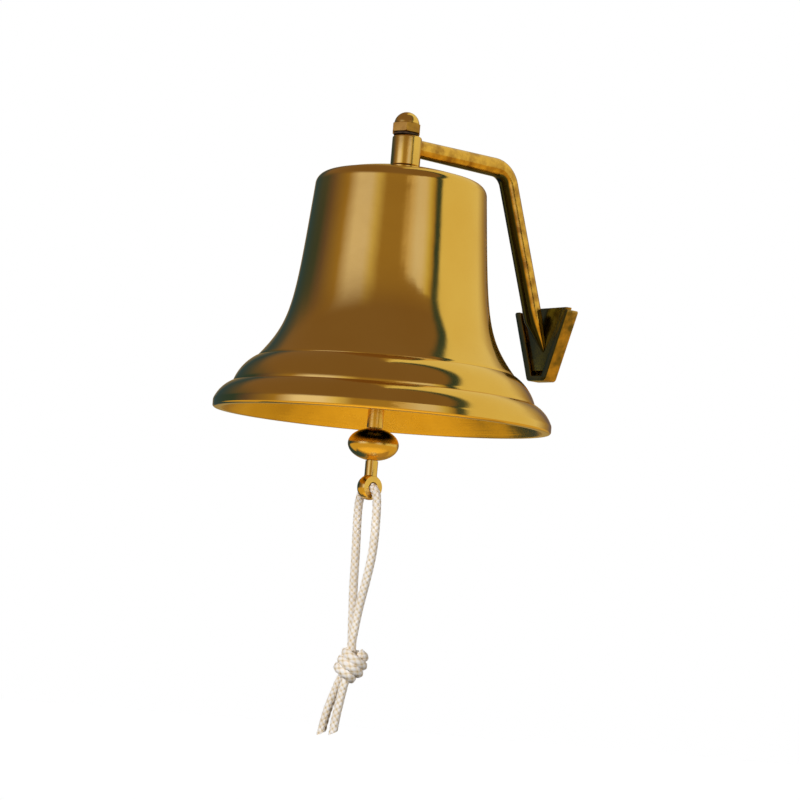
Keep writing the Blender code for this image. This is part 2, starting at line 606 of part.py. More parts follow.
def make_tail(pivot, brass):
    """Turned tail: a spigot in the ball, a short stem and a ball-shaped eye."""
    face = ball_face(TAIL_RADIUS, -1) - GAP
    outline = [(0, face + SPIGOT_LENGTH), (SPIGOT_RADIUS, face + SPIGOT_LENGTH),
               (SPIGOT_RADIUS, face), (TAIL_RADIUS, face)]
    start = math.acos(TAIL_RADIUS / TAIL_EYE_RADIUS)
    for step in range(13):
        angle = start - (start + math.pi / 2) * step / 12
        outline.append((TAIL_EYE_RADIUS * math.cos(angle),
                        TAIL_EYE_HEIGHT + TAIL_EYE_RADIUS * math.sin(angle)))
    outline[-1] = (0, TAIL_EYE_HEIGHT - TAIL_EYE_RADIUS)
    bm = turned([(r, h - CLAPPER_PIVOT) for r, h in outline], 32)
    for side in (-1, 1):
        bmesh.ops.bisect_plane(bm, geom=list(bm.verts) + list(bm.edges) + list(bm.faces),
                               dist=1e-7, plane_co=(side * TAIL_EYE_THICKNESS / 2, 0, 0),
                               plane_no=(side, 0, 0), clear_outer=True)
        open_edges = [edge for edge in bm.edges if edge.is_boundary]
        bmesh.ops.holes_fill(bm, edges=open_edges, sides=0)
    tail = make_object("clapper_tail", bm, brass, pivot)
    length = 2 * TAIL_EYE_RADIUS
    place = Matrix.Translation((-length / 2, 0, TAIL_EYE_HEIGHT - CLAPPER_PIVOT)) \
        @ Matrix.Rotation(math.pi / 2, 4, "Y")
    hole = cylinder(ROPE_RADIUS + ROPE_CLEARANCE, length, place, 20)
    combine(tail, make_cutter("rope_hole_cutter", hole, pivot), "DIFFERENCE")


# --- Bell rope --------------------------------------------------------------------------
def smooth_route(points, spacing):
    """Points on a smooth curve through the route, about one spacing apart."""
    route = [Vector(point) for point in points]
    padded = [2 * route[0] - route[1]] + route + [2 * route[-1] - route[-2]]
    result = []
    for a, b, c, d in zip(padded, padded[1:], padded[2:], padded[3:]):
        steps = max(1, round((c - b).length / spacing))
        for step in range(steps):
            t = step / steps
            result.append(0.5 * (2 * b + (c - a) * t + (2 * a - 5 * b + 4 * c - d) * t * t
                                 + (3 * b - a - 3 * c + d) * t**3))
    result.append(route[-1])
    return result


def make_rope(name, points, parent, fibre):
    route = smooth_route(points, 4 * ROPE_RADIUS)
    curve = bpy.data.curves.new(name, "CURVE")
    curve.dimensions = "3D"
    curve.bevel_depth = ROPE_RADIUS
    curve.bevel_resolution = 2
    curve.use_fill_caps = True
    spline = curve.splines.new("POLY")
    spline.points.add(len(route) - 1)
    for target, point in zip(spline.points, route):
        target.co = (*point, 1)
    curve.materials.append(fibre)
    rope = bpy.data.objects.new(name, curve)
    bpy.context.scene.collection.objects.link(rope)
    rope.parent = parent


def make_knot(parent, fibre):
    bm = bmesh.new()
    bmesh.ops.create_uvsphere(bm, u_segments=16, v_segments=10, radius=1)
    bmesh.ops.scale(bm, verts=bm.verts, vec=KNOT_RADII)
    bmesh.ops.translate(bm, verts=bm.verts, vec=KNOT_CENTRE)
    make_object("rope_knot", bm, fibre, parent)


# --- The whole bell ------------------------------------------------------------------------
def main():
    clear_scene()
    polished = make_material("polished_brass", (0.80, 0.53, 0.16), 1.0, 0.12)
    cast = make_material("cast_brass", (0.70, 0.42, 0.11), 1.0, 0.35)
    turned_brass = make_material("turned_brass", (0.78, 0.50, 0.14), 1.0, 0.18)
    fibre = make_material("fibre_washer", (0.05, 0.04, 0.03), 0.0, 0.8)
    cotton = make_material("braided_cord", (0.86, 0.82, 0.74), 0.0, 0.9)

    wall = make_empty("wall_frame", (0, 0, 0))
    axis = make_empty("bell_axis_frame", (0, -BELL_REACH, -PLATE_MIDDLE))
    link_pivot = make_empty("link_pivot_frame", (0, -HANG_OFFSET, LINK_PIVOT), axis)
    clapper_pivot = make_empty("clapper_pivot_frame", (0, -HANG_OFFSET, CLAPPER_PIVOT), axis)
    rope_pivot = make_empty("rope_pivot_frame", (0, -HANG_OFFSET, TAIL_EYE_HEIGHT), axis)

    make_wall_plate(wall, cast)
    make_wedge(wall, cast)
    make_arm(wall, cast)
    make_boss(axis, turned_brass)
    make_bell(axis, polished)
    make_dome_nut(axis, turned_brass)
    make_eye_bolt(axis, turned_brass)
    make_fastenings(axis, turned_brass, fibre)
    make_link(link_pivot, turned_brass)
    make_clapper_rod(clapper_pivot, turned_brass)
    make_ball(clapper_pivot, turned_brass)
    make_tail(clapper_pivot, turned_brass)
    make_rope("rope_strand_near", NEAR_STRAND, rope_pivot, cotton)
    make_rope("rope_strand_far", FAR_STRAND, rope_pivot, cotton)
    make_rope("rope_tail_long", LONG_TAIL, rope_pivot, cotton)
    make_rope("rope_tail_short", SHORT_TAIL, rope_pivot, cotton)
    make_knot(rope_pivot, cotton)


main()
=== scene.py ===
# %% [markdown]
# # A ship's bell on a lift-off bracket
# A brass bell hangs from a bent arm. The arm ends in a wedge that drops into a dovetail
# plate on the wall. Inside hangs a clapper, and from the clapper a short knotted rope.
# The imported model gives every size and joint. This lesson makes the fine surfaces that
# stand for its pieces, and the finishes: polished, cast and turned brass, and cotton.

# %% Load the frame
import math

import bmesh
import bpy
from mathutils import Matrix, Vector


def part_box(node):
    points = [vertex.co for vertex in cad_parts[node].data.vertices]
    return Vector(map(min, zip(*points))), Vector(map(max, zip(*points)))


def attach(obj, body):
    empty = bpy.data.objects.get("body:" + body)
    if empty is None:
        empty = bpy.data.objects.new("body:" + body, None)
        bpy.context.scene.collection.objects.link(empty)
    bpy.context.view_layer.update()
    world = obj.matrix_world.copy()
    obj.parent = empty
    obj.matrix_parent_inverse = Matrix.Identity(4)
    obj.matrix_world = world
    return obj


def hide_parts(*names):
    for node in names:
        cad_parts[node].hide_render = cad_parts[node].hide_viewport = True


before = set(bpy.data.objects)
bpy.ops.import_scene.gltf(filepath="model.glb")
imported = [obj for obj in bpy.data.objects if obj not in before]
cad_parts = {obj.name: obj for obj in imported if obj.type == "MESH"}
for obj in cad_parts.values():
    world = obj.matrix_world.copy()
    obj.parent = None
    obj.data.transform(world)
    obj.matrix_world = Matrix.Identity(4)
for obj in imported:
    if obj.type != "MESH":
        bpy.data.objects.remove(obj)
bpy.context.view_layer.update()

# %% [markdown]
# ## Where everything is
# The bell is turned about one upright line. Its node's box gives that line, the height of
# the rim and the radius of the mouth. All heights below are measured up from the rim, as
# a bell founder measures them.

# %% The bell's axis and rim
bell_low, bell_high = (Vector(corner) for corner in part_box("bell"))
MOUTH_RADIUS = (bell_high.x - bell_low.x) / 2
AXIS_Y = (bell_low.y + bell_high.y) / 2
RIM_Z = bell_low.z
CROWN_TOP = bell_high.z - RIM_Z
print(f"mouth radius {MOUTH_RADIUS:.4f}, axis at y {AXIS_Y:.4f}, rim at z {RIM_Z:.4f}")

# %% [markdown]
# ## The camera
# The camera stands a little below the rim and to the right of the bell's front, so both
# the dark inside and the bracket are seen. It is aimed by four turns: round the bell, up,
# a touch sideways, and a roll that tips the whole bell.

# %% Make the camera
CAMERA_AZIMUTH = math.radians(52)
CAMERA_DISTANCE = 0.900
CAMERA_BELOW_RIM = 0.0612
CAMERA_PITCH = math.radians(4.587)
CAMERA_YAW = math.radians(0.499)
CAMERA_ROLL = math.radians(4.819)

camera_data = bpy.data.cameras.new("camera")
camera_data.sensor_width = 36
camera_data.lens = 85.59
camera = bpy.data.objects.new("camera", camera_data)
bpy.context.scene.collection.objects.link(camera)
aside = Matrix.Rotation(CAMERA_AZIMUTH, 3, "Z") @ Vector((0, -CAMERA_DISTANCE, 0))
camera_place = Vector((0, AXIS_Y, RIM_Z - CAMERA_BELOW_RIM)) + aside
camera.matrix_world = (Matrix.Translation(camera_place)
                       @ Matrix.Rotation(CAMERA_AZIMUTH - CAMERA_YAW, 4, "Z")
                       @ Matrix.Rotation(math.pi / 2 + CAMERA_PITCH, 4, "X")
                       @ Matrix.Rotation(CAMERA_ROLL, 4, "Z"))
bpy.context.scene.camera = camera
print("camera at", [round(value, 4) for value in camera_place])

# %% [markdown]
# ## Helpers
# Most pieces are turned on a lathe, so one helper spins an outline about the Z axis.
# An outline's corners can be rounded first: bevel works on the bare corner points of a
# wire, and that gives every step and rim its small fillet. Another helper turns a bmesh
# into an object that rides on its body and stands for its node.

# %% Helper: a bmesh as an object
def as_object(name, bm, finish=None):
    """Turn the bmesh into an object in the scene, with a finish if one is given."""
    mesh = bpy.data.meshes.new(name)
    bm.to_mesh(mesh)
    bm.free()
    if finish:
        mesh.materials.append(finish)
    thing = bpy.data.objects.new(name, mesh)
    bpy.context.scene.collection.objects.link(thing)
    return thing


# %% Helper: finish a piece
def finish_piece(name, bm, body, finish, nodes):
    """Make the bmesh an object with a finish, in place of its nodes, and let it ride."""
    piece = as_object(name, bm, finish)
    mesh = piece.data
    mesh.shade_smooth()
    mesh.set_sharp_from_angle(angle=math.radians(40))
    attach(piece, body)
    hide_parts(*nodes)
    print(name, "has", len(mesh.polygons), "faces")
    return piece


# %% Helper: spin an outline
def turned(outline, steps, rounds=(), closed=False, place=(0, 0, 0)):
    """Spin (radius, height) points about Z. rounds pairs a point's number with a fillet."""
    bm = bmesh.new()
    verts = [bm.verts.new((point[0], 0, point[1])) for point in outline]
    for pair in zip(verts, verts[1:]):
        bm.edges.new(pair)
    if closed:
        bm.edges.new((verts[-1], verts[0]))
    for index, fillet in rounds:
        bmesh.ops.bevel(bm, geom=[verts[index]], offset=fillet, offset_type="OFFSET", segments=4,
                        profile=0.5, affect="VERTICES", material=-1)
    bmesh.ops.spin(bm, geom=list(bm.verts) + list(bm.edges), cent=(0, 0, 0), axis=(0, 0, 1),
                   angle=2 * math.pi, steps=steps, use_merge=True)
    bmesh.ops.remove_doubles(bm, verts=bm.verts, dist=1e-6)
    bmesh.ops.recalc_face_normals(bm, faces=bm.faces)
    bmesh.ops.translate(bm, verts=bm.verts, vec=place)
    return bm


ON_AXIS = (0, AXIS_Y, RIM_Z)


# %% Helper: cut a piece flat
def cut_flat(bm, place, outward):
    """Cut off what lies beyond a plane, and close the cut."""
    bmesh.ops.bisect_plane(bm, geom=list(bm.verts) + list(bm.edges) + list(bm.faces), dist=1e-7,
                           plane_co=place, plane_no=outward, clear_outer=True)
    bmesh.ops.holes_fill(bm, edges=[edge for edge in bm.edges if edge.is_boundary], sides=0)
    bmesh.ops.recalc_face_normals(bm, faces=bm.faces)


# %% Helper: a cubic curve
def cubic(p0, p1, p2, p3, steps):
    """Points and tangents along a cubic curve, both ends included."""
    result = []
    for step in range(steps + 1):
        t = step / steps
        s = 1 - t
        point = p0 * s**3 + p1 * 3 * s * s * t + p2 * 3 * s * t * t + p3 * t**3
        tangent = (p1 - p0) * s * s + (p2 - p1) * 2 * s * t + (p3 - p2) * t * t
        result.append((point, tangent.normalized()))
    return result


# %% Helper: a shallow arch
def arch(start, end, bulge, steps):
    """Points from start to end, both included, on a curve that stands out by bulge."""
    start, end = Vector(start), Vector(end)
    along = (end - start).normalized()
    outward = Vector((along.y, -along.x))
    points = []
    for step in range(steps + 1):
        share = step / steps
        points.append(start.lerp(end, share) + outward * bulge * 4 * share * (1 - share))
    return points


# %% [markdown]
# ## Brass
# Brass is a metal, so its colour is the colour of what it reflects. Real brass is never
# quite even: its tone drifts, hands and polish leave soft patches, and the cutting tool
# leaves fine rings. One function makes every brass here, with the strength of each of
# these as its arguments. Patterns use object coordinates, so they stay on the piece.
# Darker hollows and brighter edges come from the mesh's pointiness. The plate and wedge
# are the same castings as the arm, but tarnished, and the dome nut's flats are milled.

# %% Helper: node trees
def new_material(name):
    """A material with its shader and its two node lists."""
    material = bpy.data.materials.new(name)
    material.use_nodes = True
    tree = material.node_tree
    return material, tree.nodes, tree.links, tree.nodes["Principled BSDF"]


def ramp(nodes, stops):
    """A colour ramp with the given (position, colour) stops."""
    node = nodes.new("ShaderNodeValToRGB")
    while len(node.color_ramp.elements) < len(stops):
        node.color_ramp.elements.new(1)
    for element, (position, colour) in zip(node.color_ramp.elements, stops):
        element.position = position
        element.color = (*colour, 1)
    return node


def noise(nodes, links, vector, scale, detail, stretch=(1, 1, 1)):
    """A noise pattern whose scale can differ along each axis."""
    mapping = nodes.new("ShaderNodeMapping")
    mapping.inputs["Scale"].default_value = stretch
    links.new(vector, mapping.inputs["Vector"])
    node = nodes.new("ShaderNodeTexNoise")
    node.inputs["Scale"].default_value = scale
    node.inputs["Detail"].default_value = detail
    links.new(mapping.outputs["Vector"], node.inputs["Vector"])
    return node.outputs["Fac"]


def remap(nodes, links, value, low, high, new_low, new_high, shape="LINEAR"):
    """Stretch a value from one range to another."""
    node = nodes.new("ShaderNodeMapRange")
    node.interpolation_type = shape
    node.inputs["From Min"].default_value = low
    node.inputs["From Max"].default_value = high
    node.inputs["To Min"].default_value = new_low
    node.inputs["To Max"].default_value = new_high
    links.new(value, node.inputs["Value"])
    return node.outputs["Result"]


def bump(nodes, links, height, strength, distance, normal=None):
    """Turn a height into a bent normal."""
    node = nodes.new("ShaderNodeBump")
    node.inputs["Strength"].default_value = strength
    node.inputs["Distance"].default_value = distance
    links.new(height, node.inputs["Height"])
    if normal:
        links.new(normal, node.inputs["Normal"])
    return node.outputs["Normal"]


def mixed(nodes, links, factor, first, second, way="MIX"):
    """Two colours mixed; each of the three values may be a socket or a plain value."""
    node = nodes.new("ShaderNodeMix")
    node.data_type = "RGBA"
    node.blend_type = way
    for name, value in (("Factor", factor), ("A", first), ("B", second)):
        if isinstance(value, bpy.types.NodeSocket):
            links.new(value, node.inputs[name])
        else:
            node.inputs[name].default_value = value
    return node.outputs["Result"]


# %% Helper: a brass finish
def brass(name, pale, deep, roughness, mottle, grain, rings, patch=30):
    """Brass from two tones, a (smooth, dull) roughness and three bump strengths."""
    material, nodes, links, shader = new_material(name)
    shader.inputs["Metallic"].default_value = 1
    place = nodes.new("ShaderNodeTexCoord").outputs["Object"]
    drift = noise(nodes, links, place, patch, 4)
    tone = ramp(nodes, ((0.32, deep), (0.62, pale)))
    links.new(drift, tone.inputs["Fac"])
    edges = ramp(nodes, ((0.44, (0.55, 0.50, 0.45)), (0.50, (1, 1, 1)), (0.60, (1.12, 1.12, 1.15))))
    links.new(nodes.new("ShaderNodeNewGeometry").outputs["Pointiness"], edges.inputs["Fac"])
    worn = mixed(nodes, links, 1, tone.outputs["Color"], edges.outputs["Color"], "MULTIPLY")
    links.new(worn, shader.inputs["Base Color"])
    handled = noise(nodes, links, place, 55, 5)
    links.new(remap(nodes, links, handled, 0.35, 0.70, *roughness), shader.inputs["Roughness"])
    normal = bump(nodes, links, noise(nodes, links, place, 90, 2), mottle, 0.001)
    normal = bump(nodes, links, noise(nodes, links, place, 1500, 3), grain, 0.0002, normal)
    lathe = noise(nodes, links, place, 1, 2, stretch=(20, 20, 3500))
    normal = bump(nodes, links, lathe, rings, 0.0001, normal)
    links.new(normal, shader.inputs["Normal"])
    return material


# %% The brasses
polished_brass = brass("polished_brass", (0.80, 0.53, 0.145), (0.77, 0.49, 0.12),
                       roughness=(0.085, 0.13), mottle=0.05, grain=0.02, rings=0.03)
cast_brass = brass("cast_brass", (0.78, 0.47, 0.10), (0.36, 0.18, 0.04),
                   roughness=(0.07, 0.16), mottle=0.2, grain=0.25, rings=0.0, patch=190)
# The plate's and wedge's brass: a tarnished tone, and painted shade on the fronts below
tarnished_and_shaded_brass = brass("cast_brass", (0.54, 0.31, 0.07), (0.13, 0.10, 0.04),
                        roughness=(0.12, 0.26), mottle=0.3, grain=0.3, rings=0.0, patch=150)
turned_brass = brass("turned_brass", (0.80, 0.53, 0.15), (0.66, 0.42, 0.11),
                     roughness=(0.13, 0.22), mottle=0.2, grain=0.10, rings=0.25)
milled_brass = brass("turned_brass", (0.58, 0.33, 0.07), (0.40, 0.21, 0.05),
                     roughness=(0.28, 0.42), mottle=0.3, grain=0.4, rings=0.0, patch=160)
inner_brass = brass("polished_brass", (0.72, 0.46, 0.085), (0.62, 0.38, 0.06),
                    roughness=(0.20, 0.32), mottle=0.15, grain=0.05, rings=0.6)
print("brasses:", [item.name for item in (polished_brass, cast_brass, turned_brass,
                                          tarnished_and_shaded_brass, milled_brass, inner_brass)])

# %% [markdown]
# Above its mouth the bell's inside is faded to a dark brown with height: painted shade, for the
# dark deep inside the bell. The dark shows in the top of the polished ball.
# Painted shade also darkens what faces the bell: the inner side and underside of the arm, and the
# fronts of the plate and wedge, which are painted a dark green.


# %% Helper: paint shade on a brass along one direction
def paint_shade(material, source, direction, start, full, colour=(0.045, 0.05, 0.035)):
    """Paint shade: fade to a dark colour as a coordinate along one direction goes past start."""
    nodes = material.node_tree.nodes
    links = material.node_tree.links
    shader = nodes["Principled BSDF"]
    along = nodes.new("ShaderNodeVectorMath")
    along.operation = "DOT_PRODUCT"
    links.new(nodes["Texture Coordinate"].outputs[source], along.inputs[0])
    along.inputs[1].default_value = direction
    depth = remap(nodes, links, along.outputs["Value"], start, full, 0, 1)
    unshaded = shader.inputs["Base Color"].links[0].from_socket
    links.new(mixed(nodes, links, depth, unshaded, (*colour, 1)), shader.inputs["Base Color"])


# %% Painted shade: darken the inside with height, and the arm and plate where they face the bell
# Painted shade inside the bell, darker with height above the rim
paint_shade(inner_brass, "Object", (0, 0, 1), RIM_Z + 0.016, RIM_Z + 0.034)
# Painted shade on the arm's underside and on its side towards the bell
paint_shade(cast_brass, "Normal", (0, -0.7, -0.7), 0.52, 0.64)
# Painted shade, dark green, on the plate's and wedge's fronts that face the bell
paint_shade(tarnished_and_shaded_brass, "Normal", (0, -1, 0), 0.6, 0.9, (0.16, 0.19, 0.10))

# %% [markdown]
# ## Fibre
# The washers that keep brass off brass are pressed red-brown fibre, darkened by grease.
# They only show as thin dark seams, so a rough, mottled brown is enough.

# %% Fibre for the washers
fibre_washer, nodes, links, shader = new_material("fibre_washer")
fibre_tone = ramp(nodes, ((0.3, (0.018, 0.013, 0.010)), (0.7, (0.060, 0.035, 0.022))))
fibre_place = nodes.new("ShaderNodeTexCoord").outputs["Object"]
links.new(noise(nodes, links, fibre_place, 700, 4), fibre_tone.inputs["Fac"])
links.new(fibre_tone.outputs["Color"], shader.inputs["Base Color"])
links.new(bump(nodes, links, noise(nodes, links, fibre_place, 2500, 2), 0.4, 0.0002),
          shader.inputs["Normal"])
shader.inputs["Roughness"].default_value = 0.75

# %% [markdown]
# ## Cotton cord
# The rope is a soft braid of eight plump yarns. The braid itself is in the mesh, and each
# point keeps how deep it lies between the yarns in an attribute called gap. The material
# tints the gaps tan, where dust and shade gather, and adds the fine fibres as bump.

# %% Cotton
braided_cord, nodes, links, shader = new_material("braided_cord")
gap = nodes.new("ShaderNodeAttribute")
gap.attribute_name = "gap"
cotton_tone = ramp(nodes, ((0.22, (0.88, 0.84, 0.81)), (0.50, (0.80, 0.68, 0.50)),
                           (0.85, (0.48, 0.34, 0.14))))
links.new(gap.outputs["Fac"], cotton_tone.inputs["Fac"])
cotton_place = nodes.new("ShaderNodeTexCoord").outputs["Object"]
soil = ramp(nodes, ((0.35, (0.93, 0.90, 0.86)), (0.65, (1, 1, 1))))
links.new(noise(nodes, links, cotton_place, 160, 4), soil.inputs["Fac"])
cotton = mixed(nodes, links, 1, cotton_tone.outputs["Color"], soil.outputs["Color"], "MULTIPLY")
links.new(cotton, shader.inputs["Base Color"])
links.new(bump(nodes, links, noise(nodes, links, cotton_place, 3500, 3), 0.6, 0.0002),
          shader.inputs["Normal"])
shader.inputs["Roughness"].default_value = 0.9
shader.inputs["Sheen Weight"].default_value = 0.3
shader.inputs["Sheen Roughness"].default_value = 0.5

# %% [markdown]
# ## The rope's routes
# The rope is one short length of 4 mm cord, doubled through the clapper's tail eye and
# knotted. Four stretches show: two strands from the eye to the knot, and two cut tails
# below it. Their routes are lists of points from the middle of the eye's hole, the same
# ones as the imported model's. A smooth curve goes through each.

# %% Routes, in metres from the tail eye
ROPE_RADIUS = 0.0020
NEAR_STRAND = (
    (0.0006, 0, 0.0002), (0.0028, 0, -0.0003), (0.0050, -0.0001, -0.0020),
    (0.0064, -0.0002, -0.0049), (0.0071, -0.0003, -0.0094), (0.0076, -0.0005, -0.0164),
    (0.0077, -0.0006, -0.0234), (0.0067, -0.0005, -0.0324), (0.0045, -0.0006, -0.0424),
    (0.0022, -0.0008, -0.0514), (0.0005, -0.0011, -0.0594), (0, -0.0019, -0.0674),
    (-0.0002, -0.0026, -0.0744),
)
FAR_STRAND = (
    (-0.0006, 0, 0.0002), (-0.0028, 0, -0.0003), (-0.0051, 0, -0.0020),
    (-0.0067, 0, -0.0052), (-0.0074, 0, -0.0104), (-0.0072, 0, -0.0184),
    (-0.0067, 0.0001, -0.0284), (-0.0063, 0.0001, -0.0384), (-0.0058, 0, -0.0484),
    (-0.0051, 0.0001, -0.0574), (-0.0046, 0.0002, -0.0654), (-0.0040, 0.0006, -0.0744),
)
LONG_TAIL = (
    (-0.0053, -0.0032, -0.0902), (-0.0064, -0.0048, -0.0954), (-0.0075, -0.0063, -0.1010),
    (-0.0084, -0.0075, -0.1066), (-0.0090, -0.0084, -0.1120), (-0.0094, -0.0091, -0.1175),
)
SHORT_TAIL = (
    (-0.0006, -0.0043, -0.0910), (-0.0012, -0.0050, -0.0959), (-0.0018, -0.0056, -0.1012),
    (-0.0023, -0.0062, -0.1063), (-0.0028, -0.0066, -0.1115), (-0.0032, -0.0069, -0.1167),
)
KNOT_CENTRE = Vector((-0.0009, -0.0011, -0.0829))

# %% [markdown]
# The tail eye's middle comes from the model: the hole is at the middle of the tail's round
# end, whose radius is 6 mm, so it lies that far above the tail's lowest point.

# %% Where the tail eye is
TAIL_EYE_RADIUS = 0.0060
tail_low, tail_high = (Vector(corner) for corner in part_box("clapper_tail"))
TAIL_EYE = Vector((0, (tail_low.y + tail_high.y) / 2, tail_low.z + TAIL_EYE_RADIUS))
print("tail eye at", [round(value, 5) for value in TAIL_EYE])


# %% Helper: a smooth route
def smooth_route(points, spacing):
    """Points on a smooth curve through the route, about one spacing apart."""
    route = [Vector(point) for point in points]
    padded = [2 * route[0] - route[1]] + route + [2 * route[-1] - route[-2]]
    result = []
    for a, b, c, d in zip(padded, padded[1:], padded[2:], padded[3:]):
        steps = max(1, round((c - b).length / spacing))
        for step in range(steps):
            t = step / steps
            result.append(0.5 * (2 * b + (c - a) * t + (2 * a - 5 * b + 4 * c - d) * t * t
                                 + (3 * b - a - 3 * c + d) * t**3))
    result.append(route[-1])
    return result


def route_length(points):
    """The length of the straight runs from point to point."""
    return sum((b - a).length for a, b in zip(points, points[1:]))


# %% [markdown]
# ## The braid
# A curve with a round bevel gives a tube whose UV map runs along and around it. On that
# map the braid is plain arithmetic: four yarns wind one way, four the other, and at each
# crossing they take turns to lie on top. The height of the upper yarn pushes the tube's
# points out or in. Doing it on the mesh, and not as bump, gives the rope its knobbly edge.

# %% Helper: how high the braid stands
YARNS = 4
BRAID_PITCH = 0.0060           # the room that two yarns of one set take along the rope
BRAID_DEPTH = 0.00042


def braid_height(along, around):
    """Height between 0 and 1 of the upper yarn, from metres along and turns around."""
    a = YARNS * around + along / BRAID_PITCH * 2
    b = YARNS * around - along / BRAID_PITCH * 2
    share_a, share_b = a % 1, b % 1
    side = 1 if (math.floor(a) + math.floor(b)) % 2 == 0 else -1
    across_a = math.sin(math.pi * share_a)
    across_b = math.sin(math.pi * share_b)
    yarn_a = math.sqrt(across_a) * (0.55 + 0.45 * side * across_b)
    yarn_b = math.sqrt(across_b) * (0.55 - 0.45 * side * across_a)
    return max(yarn_a, yarn_b)


# %% Helper: a braided tube
def braided_tube(points, radius):
    """A closed tube along the points with the braid in its surface; returns its mesh."""
    curve = bpy.data.curves.new("route", "CURVE")
    curve.dimensions = "3D"
    curve.bevel_depth = radius
    curve.bevel_resolution = 10
    curve.use_fill_caps = True
    spline = curve.splines.new("POLY")
    spline.points.add(len(points) - 1)
    for target, point in zip(spline.points, points):
        target.co = (*point, 1)
    shape = bpy.data.objects.new("route", curve)
    mesh = bpy.data.meshes.new_from_object(shape)
    bpy.data.objects.remove(shape)
    bpy.data.curves.remove(curve)
    length = route_length(points)
    bm = bmesh.new()
    bm.from_mesh(mesh)
    bpy.data.meshes.remove(mesh)
    uv = bm.loops.layers.uv.active
    gap_layer = bm.verts.layers.float.new("gap")
    bm.normal_update()
    for vert in bm.verts:
        walls = [loop for loop in vert.link_loops if len(loop.face.verts) == 4]
        if not walls:
            continue
        along, around = walls[0][uv].uv
        height = braid_height(along * length, around)
        vert[gap_layer] = 1 - height
        vert.co += vert.normal * BRAID_DEPTH * (height - 0.65)
    bmesh.ops.remove_doubles(bm, verts=bm.verts, dist=1e-6)
    bmesh.ops.recalc_face_normals(bm, faces=bm.faces)
    return bm


# %% [markdown]
# ## Cords
# The strands go on a little way into the knot. The tails start inside it and are cut off
# on the slant, so their last millimetre is bisected.

# %% Helper: make a cord
CUT_UP = 0.0012                # how far above a tail's end its middle is cut


def make_cord(name, points, node, cut=None):
    """A braided stretch of the rope, cut at its end by a slanted plane if one is given."""
    route = [TAIL_EYE + point for point in smooth_route(points, 0.0003)]
    bm = braided_tube(route, ROPE_RADIUS)
    if cut:
        cut_flat(bm, route[-1] + Vector((0, 0, CUT_UP)), cut)
    cord = finish_piece(name, bm, "rope", braided_cord, [node])
    return cord


# %% [markdown]
# ## The knot
# The doubled rope is tied in an overhand knot. From the front its plump passes of rope
# slant down to the right, one below the other, round a core that holds the strands. A
# wound route gives those passes, and the same braided tube follows it.

# %% Wind the knot
KNOT_TURNS = 3.3
KNOT_STEPS = 330
KNOT_START = math.radians(-70)
KNOT_TOP = 0.0062
KNOT_HEIGHT = 0.0128
KNOT_WIND = 0.0049             # the wound rope's distance from the knot's middle line
KNOT_TUCK = 0.0030             # how much closer its two ends are tucked in
KNOT_PLUMP = 1.12
KNOT_SLANT = Matrix.Rotation(CAMERA_AZIMUTH, 3, "Z") @ Matrix.Rotation(math.radians(24), 3, "Y")
knot_route = []
for step in range(KNOT_STEPS + 1):
    share = step / KNOT_STEPS
    angle = KNOT_START + 2 * math.pi * KNOT_TURNS * share
    wind = KNOT_WIND - KNOT_TUCK * abs(2 * share - 1) ** 6
    height = KNOT_TOP - KNOT_HEIGHT * share
    turn = Vector((wind * math.cos(angle), wind * math.sin(angle), height))
    knot_route.append(TAIL_EYE + KNOT_CENTRE + KNOT_SLANT @ turn)
knot_bm = braided_tube(knot_route, ROPE_RADIUS * KNOT_PLUMP)
rope_knot = finish_piece("knot", knot_bm, "rope", braided_cord, ["rope_knot"])

# %% The four stretches of rope
CUT = Vector((0.3, 0.45, -1)).normalized()
IN_KNOT = KNOT_CENTRE + Vector((-0.0008, 0.0002, 0.0045))
make_cord("strand_near", NEAR_STRAND + (IN_KNOT,), "rope_strand_near")
make_cord("strand_far", FAR_STRAND + (IN_KNOT,), "rope_strand_far")
make_cord("tail_long", (KNOT_CENTRE,) + LONG_TAIL, "rope_tail_long",
          CUT)
make_cord("tail_short", (KNOT_CENTRE,) + SHORT_TAIL, "rope_tail_short",
          CUT)

# %% [markdown]
# ## The bell
# The bell is one casting, turned and polished. Its outside runs from the rim over an
# upright lip, two rounded mouldings with a sharp groove above each, and the long hollow
# curve of the waist to a tight shoulder and a shallow crown. Its inside follows 3 mm
# behind. A closed outline of both faces, spun once, gives a bell with a real wall. The
# curves are cubics and arches, and the steps and rims are rounded before the spin.

# %% The bell's sizes, from the rim upwards
THROAT_RADIUS = 0.0412
WAIST_TOP = 0.1105
SHOULDER_RADIUS = 0.0055
CROWN_RISE = 0.0057
CROWN_SLOPE = math.radians(13)
LIP_ROUND = 0.0007
LIP_BAND = 0.0038
LIP_WALL = 0.0042
BODY_WALL = 0.0030
LOWER_GROOVE = (0.0087, 0.0128)    # inset from the mouth's radius, height
UPPER_GROOVE = (0.0190, 0.0256)
GROOVE_STEP = 0.0008
LOWER_BULGE = 0.0011
UPPER_BULGE = 0.0013
FLARE_LEAN = math.radians(39.4)
FLARE_PULL = 0.273
WAIST_LEAN = math.radians(4.8)
WAIST_PULL = 0.703
INNER_LIP_LEAN = math.radians(29.4)
INNER_LIP_PULL = 0.3
HOLE_RADIUS = 0.0043
SHOULDER_SWEEP = math.pi / 2 - CROWN_SLOPE
CROWN_EDGE_RADIUS = THROAT_RADIUS - SHOULDER_RADIUS * (1 - math.cos(SHOULDER_SWEEP))


def crown_height(radius, wall=0.0):
    """Height of the crown's surface at a radius, or of the face a wall below it."""
    share = radius / CROWN_EDGE_RADIUS
    return CROWN_TOP - wall - CROWN_RISE * share * share


